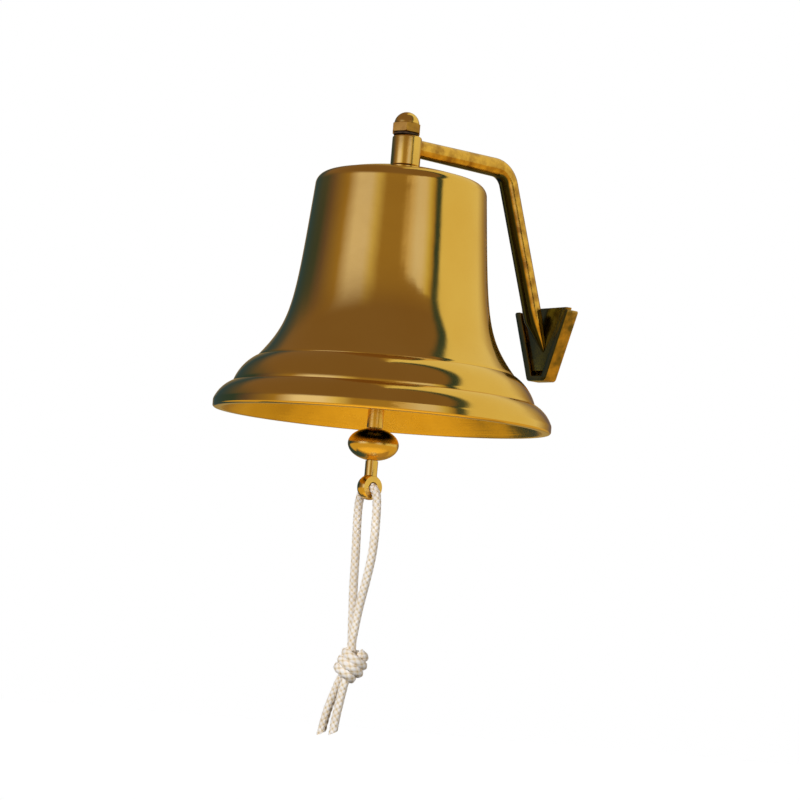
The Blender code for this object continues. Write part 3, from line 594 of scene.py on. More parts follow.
# %% The waist's curve, the shoulder and the crown
def waist_curve(steps):
    """Points and tangents up the hollow waist, from the upper moulding to the shoulder."""
    foot = Vector((MOUTH_RADIUS - UPPER_GROOVE[0], UPPER_GROOVE[1] + GROOVE_STEP / 2))
    head = Vector((THROAT_RADIUS, WAIST_TOP))
    rise = head.y - foot.y
    foot_pull = Vector((-math.sin(FLARE_LEAN), math.cos(FLARE_LEAN))) * rise * FLARE_PULL
    head_pull = Vector((math.sin(WAIST_LEAN), -math.cos(WAIST_LEAN))) * rise * WAIST_PULL
    return cubic(foot, foot + foot_pull, head + head_pull, head, steps)


def shoulder_arc(radius, steps):
    """Points round the shoulder, from the waist's top to the crown's edge."""
    centre = Vector((THROAT_RADIUS - SHOULDER_RADIUS, WAIST_TOP))
    return [centre + Vector((math.cos(SHOULDER_SWEEP * step / steps),
                             math.sin(SHOULDER_SWEEP * step / steps))) * radius
            for step in range(1, steps + 1)]


def crown_points(wall, steps=12):
    """Points over the crown from its edge to the bolt hole, a wall below its top face."""
    points = []
    for step in range(1, steps + 1):
        radius = CROWN_EDGE_RADIUS + (HOLE_RADIUS - CROWN_EDGE_RADIUS) * step / steps
        points.append(Vector((radius, crown_height(radius, wall))))
    return points


# %% The outside, with the corners that get a fillet
FILLET = 0.00035
lower = Vector((MOUTH_RADIUS - LOWER_GROOVE[0], LOWER_GROOVE[1]))
upper = Vector((MOUTH_RADIUS - UPPER_GROOVE[0], UPPER_GROOVE[1]))
step_out = Vector((GROOVE_STEP, 0))
step_up = Vector((0, GROOVE_STEP))
outside = [Vector((MOUTH_RADIUS - LIP_ROUND, 0)), Vector((MOUTH_RADIUS, LIP_ROUND))]
fillets = [(0, 0.0003), (1, 0.0004), (len(outside), 0.0005)]
outside += arch((MOUTH_RADIUS, LIP_BAND), lower + step_out, LOWER_BULGE, 14)
fillets.append((len(outside) - 1, FILLET))
outside.append(lower)
fillets.append((len(outside) - 1, FILLET / 3))
outside += arch(lower + step_up, upper + step_out, UPPER_BULGE, 16)
fillets.append((len(outside) - 1, FILLET))
outside.append(upper)
fillets.append((len(outside) - 1, FILLET / 3))
outside += [point for point, tangent in waist_curve(44)]
outside += shoulder_arc(SHOULDER_RADIUS, 14)
outside += crown_points(0.0)

# %% The inside, and the spin
inner_waist = [point + Vector((-tangent.y, tangent.x)) * BODY_WALL
               for point, tangent in waist_curve(28)]
rim = Vector((MOUTH_RADIUS - LIP_WALL, 0))
pull = (rim - inner_waist[0]).length * INNER_LIP_PULL
foot_aim = inner_waist[0] + Vector((math.sin(FLARE_LEAN), -math.cos(FLARE_LEAN))) * pull
rim_aim = rim + Vector((-math.sin(INNER_LIP_LEAN), math.cos(INNER_LIP_LEAN))) * pull
inner_bow = [point for point, tangent in cubic(inner_waist[0], foot_aim, rim_aim, rim, 14)]
inside = (crown_points(BODY_WALL)[::-1] + shoulder_arc(SHOULDER_RADIUS - BODY_WALL, 8)[::-1]
          + inner_waist[::-1] + inner_bow[1:])
fillets.append((len(outside) + len(inside) - 1, 0.0003))
bell_bm = turned(outside + inside, 192, rounds=fillets, closed=True, place=ON_AXIS)
inner_faces = 0
for face in bell_bm.faces:
    out = face.calc_center_median() - Vector((0, AXIS_Y, 0))
    out.z = 0
    under_crown = face.normal.z < -0.5 and out.length < THROAT_RADIUS
    if face.normal.dot(out.normalized()) < -0.05 or under_crown:
        face.material_index = 1
        inner_faces += 1
bell = finish_piece("bell_casting", bell_bm, "bracket", polished_brass, ["bell"])
bell.data.materials.append(inner_brass)
print("faces inside the bell:", inner_faces)

# %% [markdown]
# ## Washers and gasket
# A gasket lies between the boss and the crown, a thin washer under the dome nut, and a
# broad brass washer inside the crown. Each is a ring with rounded rims, so one loop spins
# all three, with heights taken from their nodes.

# %% Three flat rings
for name, node, finish in (("gasket", "crown_gasket", fibre_washer),
                           ("thin_washer", "nut_washer", fibre_washer),
                           ("broad_washer", "inner_washer", turned_brass)):
    low, high = (Vector(corner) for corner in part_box(node))
    outer = (high.x - low.x) / 2
    bottom, top = low.z - RIM_Z, high.z - RIM_Z
    outline = ((outer, bottom), (outer, top), (HOLE_RADIUS, top), (HOLE_RADIUS, bottom))
    corners = [(index, 0.0002) for index in range(4)]
    ring_bm = turned(outline, 64, rounds=corners, closed=True, place=ON_AXIS)
    finish_piece(name, ring_bm, "bracket", finish, [node])

# %% [markdown]
# ## The boss
# The boss is the upright barrel that the arm is brazed into. It is turned, with an eased
# top edge, and sits one millimetre off the bolt's line, as its casting does. The washers
# hide both ends of its bore, so the bore can be a plain wider hole.

# %% Spin the boss
BOSS_EDGE = 0.0012
boss_low, boss_high = (Vector(corner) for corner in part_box("bracket_boss"))
BOSS_RADIUS = (boss_high.x - boss_low.x) / 2
BOSS_OFFSET = (boss_low.y + boss_high.y) / 2 - AXIS_Y
BOSS_BOTTOM, BOSS_TOP = boss_low.z - RIM_Z, boss_high.z - RIM_Z
boss_bore = HOLE_RADIUS + BOSS_OFFSET
boss_outline = ((boss_bore, BOSS_BOTTOM), (BOSS_RADIUS, BOSS_BOTTOM), (BOSS_RADIUS, BOSS_TOP),
                (boss_bore, BOSS_TOP))
boss_bm = turned(boss_outline, 96, rounds=((1, 0.0005), (2, BOSS_EDGE)), closed=True,
                 place=(0, AXIS_Y + BOSS_OFFSET, RIM_Z))
finish_piece("boss", boss_bm, "bracket", turned_brass, ["bracket_boss"])

# %% [markdown]
# ## Swept rods
# The arm is a bent round bar. A row of circles along its middle line, each turned to face
# along it, is bridged into a tube. The bar's end is drawn down to a point and filed flat
# where it lies on the wedge, so a plane cuts it there.


# %% Helper: sweep a rod
def swept_rod(points, radii, steps=40):
    """A round rod through the points, with its own radius at each."""
    bm = bmesh.new()
    last = len(points) - 1
    previous = None
    for index, (point, radius) in enumerate(zip(points, radii)):
        along = points[min(index + 1, last)] - points[max(index - 1, 0)]
        turn = along.to_track_quat("Z", "X").to_matrix().to_4x4()
        ring = bmesh.ops.create_circle(bm, segments=steps, radius=radius,
                                       matrix=Matrix.Translation(point) @ turn)["verts"]
        edges = list({edge for vert in ring for edge in vert.link_edges})
        if previous:
            bmesh.ops.bridge_loops(bm, edges=previous + edges)
        previous = edges
    bmesh.ops.holes_fill(bm, edges=[edge for edge in bm.edges if edge.is_boundary], sides=0)
    bmesh.ops.recalc_face_normals(bm, faces=bm.faces)
    return bm


# %% The arm's sizes
GAP = 0.0003
ARM_START_RADIUS = 0.0043
ARM_RADIUS = 0.0047
ARM_CLIMB = math.radians(0.9)
ARM_BEND_RADIUS = 0.0110
ARM_SEAT = 0.0020
ARM_BELOW_BOSS_TOP = 0.0048
LEG_LEAN = math.radians(20.2)
LEG_POINT_LENGTH = 0.0185
LEG_POINT_RADIUS = 0.0002
LEG_FOOT_UP = 0.0131
LEG_POINT_UP = 0.0118
LEG_POINT_SIDE = 0.0026
LEG_POINT_SUNK = 0.0022
PLATE_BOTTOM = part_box("wall_plate")[0][2]
WEDGE_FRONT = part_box("bracket_wedge")[0][1]


# %% The arm's middle line
def arm_route(bend_steps=24):
    """Points and radii from the boss, round the bend and down the leg to its point."""
    climb = Vector((0, math.cos(ARM_CLIMB), math.sin(ARM_CLIMB)))
    fall = Vector((0, math.sin(LEG_LEAN), -math.cos(LEG_LEAN)))
    root = Vector((0, AXIS_Y, RIM_Z + BOSS_TOP - ARM_BELOW_BOSS_TOP))
    tip = Vector((LEG_POINT_SIDE, WEDGE_FRONT + LEG_POINT_SUNK, PLATE_BOTTOM + LEG_POINT_UP))
    leg_end_height = tip.z + LEG_POINT_LENGTH
    foot = Vector((0, WEDGE_FRONT, PLATE_BOTTOM + LEG_FOOT_UP))
    lean = math.tan(LEG_LEAN)
    run = (foot.y - root.y - (root.z - foot.z) * lean) / (1 + math.tan(ARM_CLIMB) * lean)
    corner = root + Vector((0, run, run * math.tan(ARM_CLIMB)))
    sweep = math.pi / 2 + ARM_CLIMB - LEG_LEAN
    start = root + climb * (BOSS_OFFSET + BOSS_RADIUS - ARM_SEAT + GAP)
    bend_start = corner - climb * ARM_BEND_RADIUS * math.tan(sweep / 2)
    inward = Vector((0, math.sin(ARM_CLIMB), -math.cos(ARM_CLIMB)))
    centre = bend_start + inward * ARM_BEND_RADIUS
    points = [start.lerp(bend_start, step / 12) for step in range(12)]
    radii = [ARM_START_RADIUS + (ARM_RADIUS - ARM_START_RADIUS) * step / 12 for step in range(12)]
    for step in range(bend_steps + 1):
        turn = Matrix.Rotation(-sweep * step / bend_steps, 3, "X")
        points.append(centre + turn @ (bend_start - centre))
        radii.append(ARM_RADIUS)
    bend_end = points[-1]
    leg_end = bend_end + fall * ((bend_end.z - leg_end_height) / math.cos(LEG_LEAN))
    for step in range(1, 11):
        points.append(bend_end.lerp(leg_end, step / 10))
        radii.append(ARM_RADIUS)
    for step in range(1, 9):
        points.append(leg_end.lerp(tip, step / 8))
        radii.append(ARM_RADIUS + (LEG_POINT_RADIUS - ARM_RADIUS) * step / 8)
    return points, radii


# %% Sweep and file the arm
arm_bm = swept_rod(*arm_route())
cut_flat(arm_bm, (0, WEDGE_FRONT - GAP, 0), (0, 1, 0))
finish_piece("arm", arm_bm, "bracket", cast_brass, ["bracket_arm"])

# %% [markdown]
# ## Plate, wedge and inner nut
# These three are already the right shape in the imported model, down to the dovetail and the
# countersunk screw holes, but their edges are knife-sharp. A copy of each mesh is merged,
# its flat faces joined up again, and its edges eased, so that they catch the light.


# %% Helper: ease a node's edges
def eased_copy(node, width, segments=3):
    """A merged copy of a node's mesh with its sharp edges bevelled."""
    bm = bmesh.new()
    bm.from_mesh(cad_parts[node].data)
    bmesh.ops.remove_doubles(bm, verts=bm.verts, dist=1e-6)
    bmesh.ops.dissolve_limit(bm, angle_limit=math.radians(1), verts=bm.verts, edges=bm.edges)
    sharp = [edge for edge in bm.edges
             if edge.is_manifold and edge.calc_face_angle() > math.radians(30)]
    bmesh.ops.bevel(bm, geom=sharp, offset=width, offset_type="OFFSET", segments=segments,
                    profile=0.5, affect="EDGES", clamp_overlap=True, material=-1)
    return bm


# %% Ease the three
finish_piece("dovetail_plate", eased_copy("wall_plate", 0.00035), "wall_plate",
             tarnished_and_shaded_brass, ["wall_plate"])
finish_piece("wedge", eased_copy("bracket_wedge", 0.0003), "bracket", tarnished_and_shaded_brass,
             ["bracket_wedge"])
finish_piece("lower_nut", eased_copy("inner_nut", 0.0003), "bracket", turned_brass,
             ["inner_nut"])

# %% [markdown]
# ## The dome nut
# A dome nut is a hexagon with a ball end. Its corners are chamfered by a lathe, which
# leaves the curved scallops of every real nut. A cone with six sides gives the hexagon,
# and a Boolean with a turned blank cuts those scallops and adds the dome.


# %% Helper: combine two solids
def combined(bm, other, operation):
    """The Boolean of two bmeshes, as a new bmesh; both are used up."""
    pair = [as_object("blank", item) for item in (bm, other)]
    change = pair[0].modifiers.new("cut", "BOOLEAN")
    change.operation = operation
    change.solver = "EXACT"
    change.object = pair[1]
    done = pair[0].evaluated_get(bpy.context.evaluated_depsgraph_get()).to_mesh()
    result = bmesh.new()
    result.from_mesh(done)
    for item in pair:
        bpy.data.objects.remove(item)
    return result


# %% Shape the dome nut
NUT_ACROSS_FLATS = 0.0130
DOME_NUT_BAND = 0.0041
DOME_RADIUS = 0.0061
DOME_RISE = 0.0062
NUT_TURN = math.radians(-8)
NUT_CHAMFER = 0.0007
nut_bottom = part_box("dome_nut")[0][2] - RIM_Z
nut_top = nut_bottom + DOME_NUT_BAND
nut_corner = NUT_ACROSS_FLATS / 2 / math.cos(math.pi / 6)
nut_bm = bmesh.new()
nut_place = Matrix.Translation((0, 0, nut_bottom + DOME_NUT_BAND / 2))
bmesh.ops.create_cone(nut_bm, cap_ends=True, segments=6, radius1=nut_corner, radius2=nut_corner,
                      depth=DOME_NUT_BAND, matrix=nut_place @ Matrix.Rotation(NUT_TURN, 4, "Z"))
blank_outline = ((0, nut_bottom - GAP), (nut_corner - NUT_CHAMFER, nut_bottom - GAP),
                 (nut_corner + GAP, nut_bottom + NUT_CHAMFER),
                 (nut_corner + GAP, nut_top - NUT_CHAMFER),
                 (nut_corner - NUT_CHAMFER, nut_top + GAP), (0, nut_top + GAP))
nut_bm = combined(nut_bm, turned(blank_outline, 96), "INTERSECT")
dome_outline = [(0, nut_top - DOME_NUT_BAND / 2), (DOME_RADIUS, nut_top - DOME_NUT_BAND / 2)]
for step in range(19):
    angle = math.pi / 2 * step / 18
    dome_outline.append((DOME_RADIUS * math.cos(angle), nut_top + DOME_RISE * math.sin(angle)))
nut_bm = combined(nut_bm, turned(dome_outline, 96), "UNION")
for face in nut_bm.faces:
    if face.calc_center_median().z < nut_top + GAP and face.normal.z < 0.9:
        face.material_index = 1
bmesh.ops.translate(nut_bm, verts=nut_bm.verts, vec=ON_AXIS)
cap_nut = finish_piece("cap_nut", nut_bm, "bracket", turned_brass, ["dome_nut"])
cap_nut.data.materials.append(milled_brass)

# %% [markdown]
# ## Rings: the bolt's eye, the link and the clapper's eye
# All three are round rings of round bar. A small circle, spun once about the ring's own
# middle, is the shortest way to such a ring. Each hangs in the next.


# %% Helper: a wire ring
def wire_ring(radius, wire, axis, middle):
    """A round ring of round wire; its hole runs along the axis, "X" or "Y"."""
    bm = bmesh.new()
    section = bmesh.ops.create_circle(bm, segments=24, radius=wire)["verts"]
    bmesh.ops.rotate(bm, verts=section, matrix=Matrix.Rotation(math.pi / 2, 3, "X"))
    bmesh.ops.translate(bm, verts=section, vec=(radius, 0, 0))
    bmesh.ops.spin(bm, geom=section + list(bm.edges), cent=(0, 0, 0), axis=(0, 0, 1),
                   angle=2 * math.pi, steps=64, use_merge=True)
    bmesh.ops.remove_doubles(bm, verts=bm.verts, dist=1e-6)
    bmesh.ops.recalc_face_normals(bm, faces=bm.faces)
    tip = Matrix.Rotation(math.pi / 2, 3, "Y" if axis == "X" else "X")
    bmesh.ops.rotate(bm, verts=bm.verts, matrix=tip)
    bmesh.ops.translate(bm, verts=bm.verts, vec=middle)
    return bm


# %% The link
LINK_RADIUS = 0.0085
LINK_WIRE = 0.0020
link_low, link_high = (Vector(corner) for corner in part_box("clapper_link"))
link_middle = (link_low + link_high) / 2
finish_piece("link", wire_ring(LINK_RADIUS, LINK_WIRE, "Y", link_middle), "link", turned_brass,
             ["clapper_link"])

# %% [markdown]
# The centre bolt goes from the dome nut down through the boss, the crown, the broad washer
# and the lower nut, and ends in an eye. Only its last thread and the eye are seen from
# below. The thread is a fine row of rounded ridges in the outline.

# %% The eye bolt
STUD_RADIUS = 0.0040
HANG_OFFSET = 0.0038
BOLT_EYE_RADIUS = 0.0075
BOLT_EYE_WIRE = 0.0025
THREAD_PITCH = 0.00125
bolt_low, bolt_high = (Vector(corner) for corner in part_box("eye_bolt"))
eye_middle = bolt_low.z + BOLT_EYE_WIRE + BOLT_EYE_RADIUS
stud_bottom = eye_middle + BOLT_EYE_RADIUS - BOLT_EYE_WIRE + 2 * GAP - RIM_Z
stud_top = bolt_high.z - RIM_Z
thread_start = stud_bottom + 2 * THREAD_PITCH
stud_outline = [(0, stud_bottom), (STUD_RADIUS, stud_bottom)]
ridge = 0
while thread_start + (ridge + 1) * THREAD_PITCH < stud_top:
    stud_outline.append((STUD_RADIUS, thread_start + ridge * THREAD_PITCH))
    stud_outline.append((STUD_RADIUS - 0.0005, thread_start + (ridge + 0.5) * THREAD_PITCH))
    ridge += 1
stud_outline += [(STUD_RADIUS, stud_top), (0, stud_top)]
stud_bm = turned(stud_outline, 48, place=ON_AXIS)
eye_bm = wire_ring(BOLT_EYE_RADIUS, BOLT_EYE_WIRE, "X", (0, AXIS_Y - HANG_OFFSET, eye_middle))
finish_piece("centre_bolt", combined(stud_bm, eye_bm, "UNION"), "bracket", turned_brass,
             ["eye_bolt"])

# %% [markdown]
# ## The clapper
# The clapper is three turned pieces screwed together: a rod with an eye, the lens-shaped
# ball that strikes the bell, and a tail whose flattened end takes the rope. All three hang
# on one line, so they share one place and are spun in turn.

# %% The clapper's sizes
CLAPPER_EYE_RADIUS = 0.0067
CLAPPER_EYE_WIRE = 0.0022
CLAPPER_ROD_RADIUS = 0.00385
ROD_TAPER = 0.0070
BALL_RADIUS = 0.0121
BALL_HALF_HEIGHT = 0.0078
SPIGOT_RADIUS = 0.0025
SPIGOT_LENGTH = 0.0055
TAIL_RADIUS = 0.0030
TAIL_EYE_DROP = 0.0204
TAIL_EYE_THICKNESS = 0.0055
ROPE_CLEARANCE = 0.0006
CLAPPER_Y = TAIL_EYE.y
BALL_HEIGHT = TAIL_EYE.z + TAIL_EYE_DROP
ON_CLAPPER = (0, CLAPPER_Y, 0)


def ball_face(radius, side=1):
    """Height of the ball's surface at a radius; side is 1 above and -1 below."""
    share = math.sqrt(1 - (radius / BALL_RADIUS) ** 2)
    return BALL_HEIGHT + side * BALL_HALF_HEIGHT * share


# %% The ball
ball_outline = [(SPIGOT_RADIUS + GAP, ball_face(TAIL_RADIUS, -1))]
low_angle = math.asin((ball_face(TAIL_RADIUS, -1) - BALL_HEIGHT) / BALL_HALF_HEIGHT)
high_angle = math.asin((ball_face(CLAPPER_ROD_RADIUS) - BALL_HEIGHT) / BALL_HALF_HEIGHT)
BALL_STEPS = 40
for step in range(BALL_STEPS + 1):
    angle = low_angle + (high_angle - low_angle) * step / BALL_STEPS
    ball_outline.append((BALL_RADIUS * math.cos(angle),
                         BALL_HEIGHT + BALL_HALF_HEIGHT * math.sin(angle)))
ball_outline.append((SPIGOT_RADIUS + GAP, ball_face(CLAPPER_ROD_RADIUS)))
ball_rounds = ((1, 0.0002), (len(ball_outline) - 2, 0.0002))
finish_piece("ball", turned(ball_outline, 96, rounds=ball_rounds, closed=True, place=ON_CLAPPER),
             "clapper", turned_brass, ["clapper_ball"])

# %% The rod
rod_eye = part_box("clapper_rod")[1][2] - CLAPPER_EYE_WIRE - CLAPPER_EYE_RADIUS
rod_foot = ball_face(CLAPPER_ROD_RADIUS) + GAP
rod_top = rod_eye - CLAPPER_EYE_RADIUS + CLAPPER_EYE_WIRE / 2
rod_outline = ((0, rod_foot - SPIGOT_LENGTH), (SPIGOT_RADIUS, rod_foot - SPIGOT_LENGTH),
               (SPIGOT_RADIUS, rod_foot), (CLAPPER_ROD_RADIUS, rod_foot),
               (CLAPPER_ROD_RADIUS, rod_top - ROD_TAPER), (CLAPPER_EYE_WIRE, rod_top), (0, rod_top))
rod_bm = turned(rod_outline, 64, rounds=((3, 0.0002), (4, 0.002)), place=ON_CLAPPER)
rod_ring = wire_ring(CLAPPER_EYE_RADIUS, CLAPPER_EYE_WIRE, "X", (0, CLAPPER_Y, rod_eye))
finish_piece("rod", combined(rod_bm, rod_ring, "UNION"), "clapper", turned_brass,
             ["clapper_rod"])

# %% [markdown]
# The tail's end is a ball turned on the lathe, filed flat on two sides and drilled across.
# The bisect tool files the flats, and a Boolean drills the hole.

# %% The tail
tail_face = ball_face(TAIL_RADIUS, -1) - GAP
tail_outline = [(0, tail_face + SPIGOT_LENGTH), (SPIGOT_RADIUS, tail_face + SPIGOT_LENGTH),
                (SPIGOT_RADIUS, tail_face), (TAIL_RADIUS, tail_face)]
tail_start = math.acos(TAIL_RADIUS / TAIL_EYE_RADIUS)
for step in range(33):
    angle = tail_start - (tail_start + math.pi / 2) * step / 32
    tail_outline.append((max(0, TAIL_EYE_RADIUS * math.cos(angle)),
                         TAIL_EYE.z + TAIL_EYE_RADIUS * math.sin(angle)))
tail_bm = turned(tail_outline, 96, rounds=((4, 0.0006),), place=ON_CLAPPER)
for side in (-1, 1):
    cut_flat(tail_bm, (side * TAIL_EYE_THICKNESS / 2, 0, 0), (side, 0, 0))
drill = bmesh.new()
bmesh.ops.create_cone(drill, cap_ends=True, segments=48, radius1=ROPE_RADIUS + ROPE_CLEARANCE,
                      radius2=ROPE_RADIUS + ROPE_CLEARANCE, depth=4 * TAIL_EYE_RADIUS,
                      matrix=Matrix.Translation(TAIL_EYE) @ Matrix.Rotation(math.pi / 2, 4, "Y"))
tail_bm = combined(tail_bm, drill, "DIFFERENCE")
finish_piece("tail_eye", tail_bm, "clapper", turned_brass, ["clapper_tail"])

# %% [markdown]
# ## The studio
# Polished brass shows its surroundings more than itself, so the studio is part of the
# finish. A white tent stands round the bell: a wall and a dome, spun from one outline. A
# colour ramp round the tent says how bright each part is: a soft panel on each side, a
# black strip beside the right one, warm dim cloth between, and dark behind the left. The
# camera doesn't see the tent, only its light. The floor is plain and pale.

# %% Helper: a place on the tent
def around(degrees):
    """A ramp position for an angle from the camera's side, positive to its right."""
    return degrees / 360 + 0.5


# %% The tent's colours, round from the dark side behind the bell's left
DARK = (0.035, 0.072, 0.095)
DIM = (0.13, 0.10, 0.12)
WARM = (0.40, 0.28, 0.09)
SOFT = (0.95, 0.97, 1.3)
GOLD = (0.82, 0.76, 0.44)
SHADE = (0.23, 0.15, 0.085)
BOUNCE = (0.72, 0.50, 0.11)
BROWN = (0.34, 0.22, 0.07)
low_stops = ((around(-178), WARM), (around(-155), DARK), (around(-116), DARK),
             (around(-101), DIM), (around(-74), WARM), (around(-57), SOFT),
             (around(-40), SOFT), (around(-30), GOLD), (around(-19), WARM), (around(46), WARM),
             (around(49), DARK), (around(54), DARK), (around(57), GOLD), (around(122), GOLD),
             (around(140), WARM), (around(158), DIM), (around(172), WARM))
high_stops = ((around(-176), WARM), (around(-168), DARK), (around(-155), DARK),
              (around(-125), SHADE), (around(43), SHADE), (around(48), DARK), (around(54), DARK),
              (around(58), GOLD), (around(130), GOLD), (around(170), WARM))
box_stops = ((around(5), (0.63, 0.50, 0.30)), (around(14), (0.68, 0.58, 0.46)),
             (around(24), (0.76, 0.76, 0.95)), (around(33), (0.76, 0.74, 0.85)),
             (around(40), (0.66, 0.60, 0.25)), (around(46), WARM), (around(49), DARK))
under_stops = ((around(-172), BROWN), (around(-168), DARK), (around(-136), DARK),
               (around(-130), BOUNCE), (around(140), BOUNCE), (around(165), BROWN))

# %% Angle and height on the tent
tent_light, nodes, links, shader = new_material("tent_light")
nodes.remove(shader)
place = nodes.new("ShaderNodeTexCoord").outputs["Object"]
turn = nodes.new("ShaderNodeMapping")
turn.vector_type = "TEXTURE"
turn.inputs["Location"].default_value = (0, AXIS_Y, 0)
turn.inputs["Rotation"].default_value = (0, 0, CAMERA_AZIMUTH - math.pi / 2)
links.new(place, turn.inputs["Vector"])
radial = nodes.new("ShaderNodeTexGradient")
radial.gradient_type = "RADIAL"
links.new(turn.outputs["Vector"], radial.inputs["Vector"])
split = nodes.new("ShaderNodeSeparateXYZ")
links.new(place, split.inputs["Vector"])
tent_height = split.outputs["Z"]


def maths(operation, first, second):
    """One Math node; the second value may be a plain number."""
    node = nodes.new("ShaderNodeMath")
    node.operation = operation
    links.new(first, node.inputs[0])
    if isinstance(second, (int, float)):
        node.inputs[1].default_value = second
    else:
        links.new(second, node.inputs[1])
    return node.outputs["Value"]


# %% [markdown]
# A flare leans back, so it reflects the dome, and a straight seam there would look bent.
# The seams of the tent spread outwards with height, which keeps them upright in the brass.
# The front panel is a sheet of tissue with a torn, slanting edge, so its edge follows the
# height and a little noise. Straight behind the bell, where the ramp's two ends meet, both
# fade to the same warm cloth.

# %% Light the tent
spread = remap(nodes, links, tent_height, 0.68, 1.70, 1.0, 0.43)
seam = maths("ADD", maths("MULTIPLY", maths("SUBTRACT", radial.outputs["Fac"], 0.5), spread), 0.5)
layers = []
for stops in (low_stops, high_stops, box_stops, under_stops):
    layer = ramp(nodes, stops)
    links.new(seam, layer.inputs["Fac"])
    layers.append(layer.outputs["Color"])
torn = noise(nodes, links, place, 20, 4, stretch=(0.4, 0.4, 1))
edge = remap(nodes, links, tent_height, 0.56, 0.72, around(-9), around(36))
edge = maths("ADD", edge, maths("MULTIPLY", torn, 0.09))
box = remap(nodes, links, maths("SUBTRACT", seam, edge), 0, 0.008, 0, 1)
past_box = remap(nodes, links, seam, around(46), around(47), 1, 0)
rise = remap(nodes, links, tent_height, 0.22, 1.00, 0, 1, "SMOOTHSTEP")
sink = remap(nodes, links, tent_height, -0.16, -0.24, 0, 1)
off_centre = maths("ABSOLUTE", maths("SUBTRACT", radial.outputs["Fac"], 0.5), 0)
behind = remap(nodes, links, off_centre, 0.455, 0.5, 0, 1)
glow = mixed(nodes, links, rise, layers[0], layers[1])
glow = mixed(nodes, links, maths("MULTIPLY", box, past_box), glow, layers[2])
glow = mixed(nodes, links, sink, glow, layers[3])
glow = mixed(nodes, links, behind, glow, (*WARM, 1))
emission = nodes.new("ShaderNodeEmission")
links.new(glow, emission.inputs["Color"])
links.new(emission.outputs["Emission"], nodes["Material Output"].inputs["Surface"])

# %% Helper: show a thing to the brass alone
def only_reflected(thing):
    """Hide a thing from the camera and from rough surfaces, and let it cast no shadow."""
    thing.visible_camera = False
    thing.visible_diffuse = False
    thing.visible_shadow = False


# %% The tent
TENT_RADIUS = 1.35
TENT_WALL_TOP = 0.4
DOME_HEIGHT = 1.3
DOME_STEPS = 16
FLOOR_Z = -1.30
tent_outline = [(TENT_RADIUS, FLOOR_Z + 0.002), (TENT_RADIUS, TENT_WALL_TOP)]
for step in range(1, DOME_STEPS + 1):
    angle_up = math.pi / 2 * step / DOME_STEPS
    tent_outline.append((TENT_RADIUS * math.cos(angle_up),
                         TENT_WALL_TOP + DOME_HEIGHT * math.sin(angle_up)))
tent = as_object("tent", turned(tent_outline, 96, place=(0, AXIS_Y, 0)), tent_light)
only_reflected(tent)

# %% [markdown]
# The floor is plain and white. Boards lie just above it for the brass to reflect: a gold
# one towards the camera, which lights the bell's inside, a brown one behind, and on that a
# dark one to the left, which shows as a dark patch inside the mouth at the right.
# Neither the camera nor the cotton sees them.


# %% Helper: a flat sheet for the studio
def studio_sheet(name, depth, width, middle, colour):
    """A level sheet that glows a little, so that it stays even; middle is towards the camera."""
    material, nodes, links, shader = new_material(name)
    shader.inputs["Base Color"].default_value = (*colour, 1)
    shader.inputs["Roughness"].default_value = 0.9
    shader.inputs["Emission Color"].default_value = (*colour, 1)
    shader.inputs["Emission Strength"].default_value = 1
    bm = bmesh.new()
    bmesh.ops.create_grid(bm, x_segments=1, y_segments=1, size=0.5)
    bmesh.ops.scale(bm, verts=bm.verts, vec=(width, depth, 1))
    bmesh.ops.translate(bm, verts=bm.verts, vec=(0, -middle, 0))
    bmesh.ops.rotate(bm, verts=bm.verts, matrix=Matrix.Rotation(CAMERA_AZIMUTH, 3, "Z"))
    bmesh.ops.translate(bm, verts=bm.verts, vec=(0, AXIS_Y, FLOOR_Z))
    sheet = as_object(name, bm, material)
    return sheet


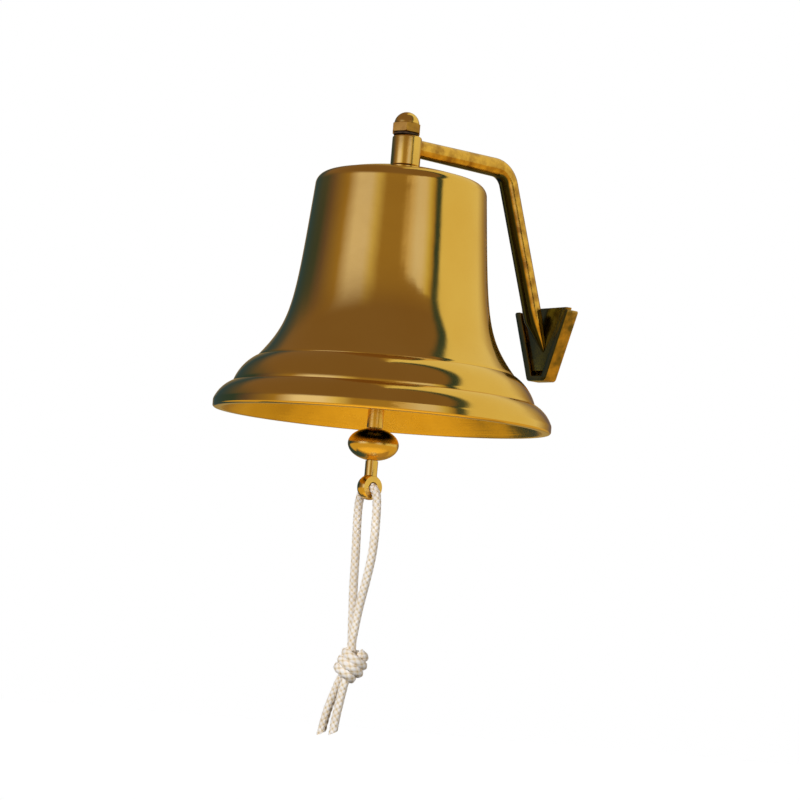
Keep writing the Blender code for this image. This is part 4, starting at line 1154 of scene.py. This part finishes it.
# %% The floor and the boards
floor = studio_sheet("floor", 24, 24, 0, (0.95, 0.95, 0.95))
floor.visible_glossy = False
floor.visible_diffuse = False
SPLIT = -0.2                   # where the gold and brown boards meet, behind the bell
TURN = Matrix.Rotation(CAMERA_AZIMUTH, 4, "Z")
for name, near, far, width, shift, lift, colour in (
        ("gold_board", TENT_RADIUS, SPLIT, 2 * TENT_RADIUS, 0, 0.004, BOUNCE),
        ("brown_board", SPLIT, -TENT_RADIUS, 2 * TENT_RADIUS, 0, 0.004, BROWN),
        ("dark_board", -0.45, -TENT_RADIUS, 1.1, -0.85, 0.008, DARK)):
    board = studio_sheet(name, near - far, width, (near + far) / 2, colour)
    board.data.transform(Matrix.Translation(TURN @ Vector((shift, 0, 0)) + Vector((0, 0, lift))))
    only_reflected(board)

# %% [markdown]
# Three soft lamps light the cotton: a key from the camera's left, a fill from its right and
# one from behind. Their reflections are switched off, so they add no stripe to the brass.
# The white world is only a backdrop, and lights nothing rough.

# %% Lamps and world
for name, turn_by, up, energy in (("key_lamp", -0.75, 0.35, 15), ("fill_lamp", 0.9, 0.05, 7),
                                  ("back_lamp", 3.0, 0.3, 9)):
    lamp_data = bpy.data.lights.new(name, "AREA")
    lamp_data.energy = energy
    lamp_data.size = 0.6
    lamp = bpy.data.objects.new(name, lamp_data)
    bpy.context.scene.collection.objects.link(lamp)
    aside = Matrix.Rotation(CAMERA_AZIMUTH + turn_by, 3, "Z") @ Vector((0, -1.1, up))
    lamp_place = Vector((0, AXIS_Y, TAIL_EYE.z)) + aside
    aim = (TAIL_EYE - lamp_place).to_track_quat("-Z", "Y")
    lamp.matrix_world = Matrix.Translation(lamp_place) @ aim.to_matrix().to_4x4()
    lamp.visible_glossy = False
world = bpy.data.worlds.new("white_room")
world.use_nodes = True
world.node_tree.nodes["Background"].inputs["Color"].default_value = (1, 1, 1, 1)
world.node_tree.nodes["Background"].inputs["Strength"].default_value = 1
world.cycles_visibility.diffuse = False
bpy.context.scene.world = world
bpy.context.scene.view_settings.view_transform = "Standard"
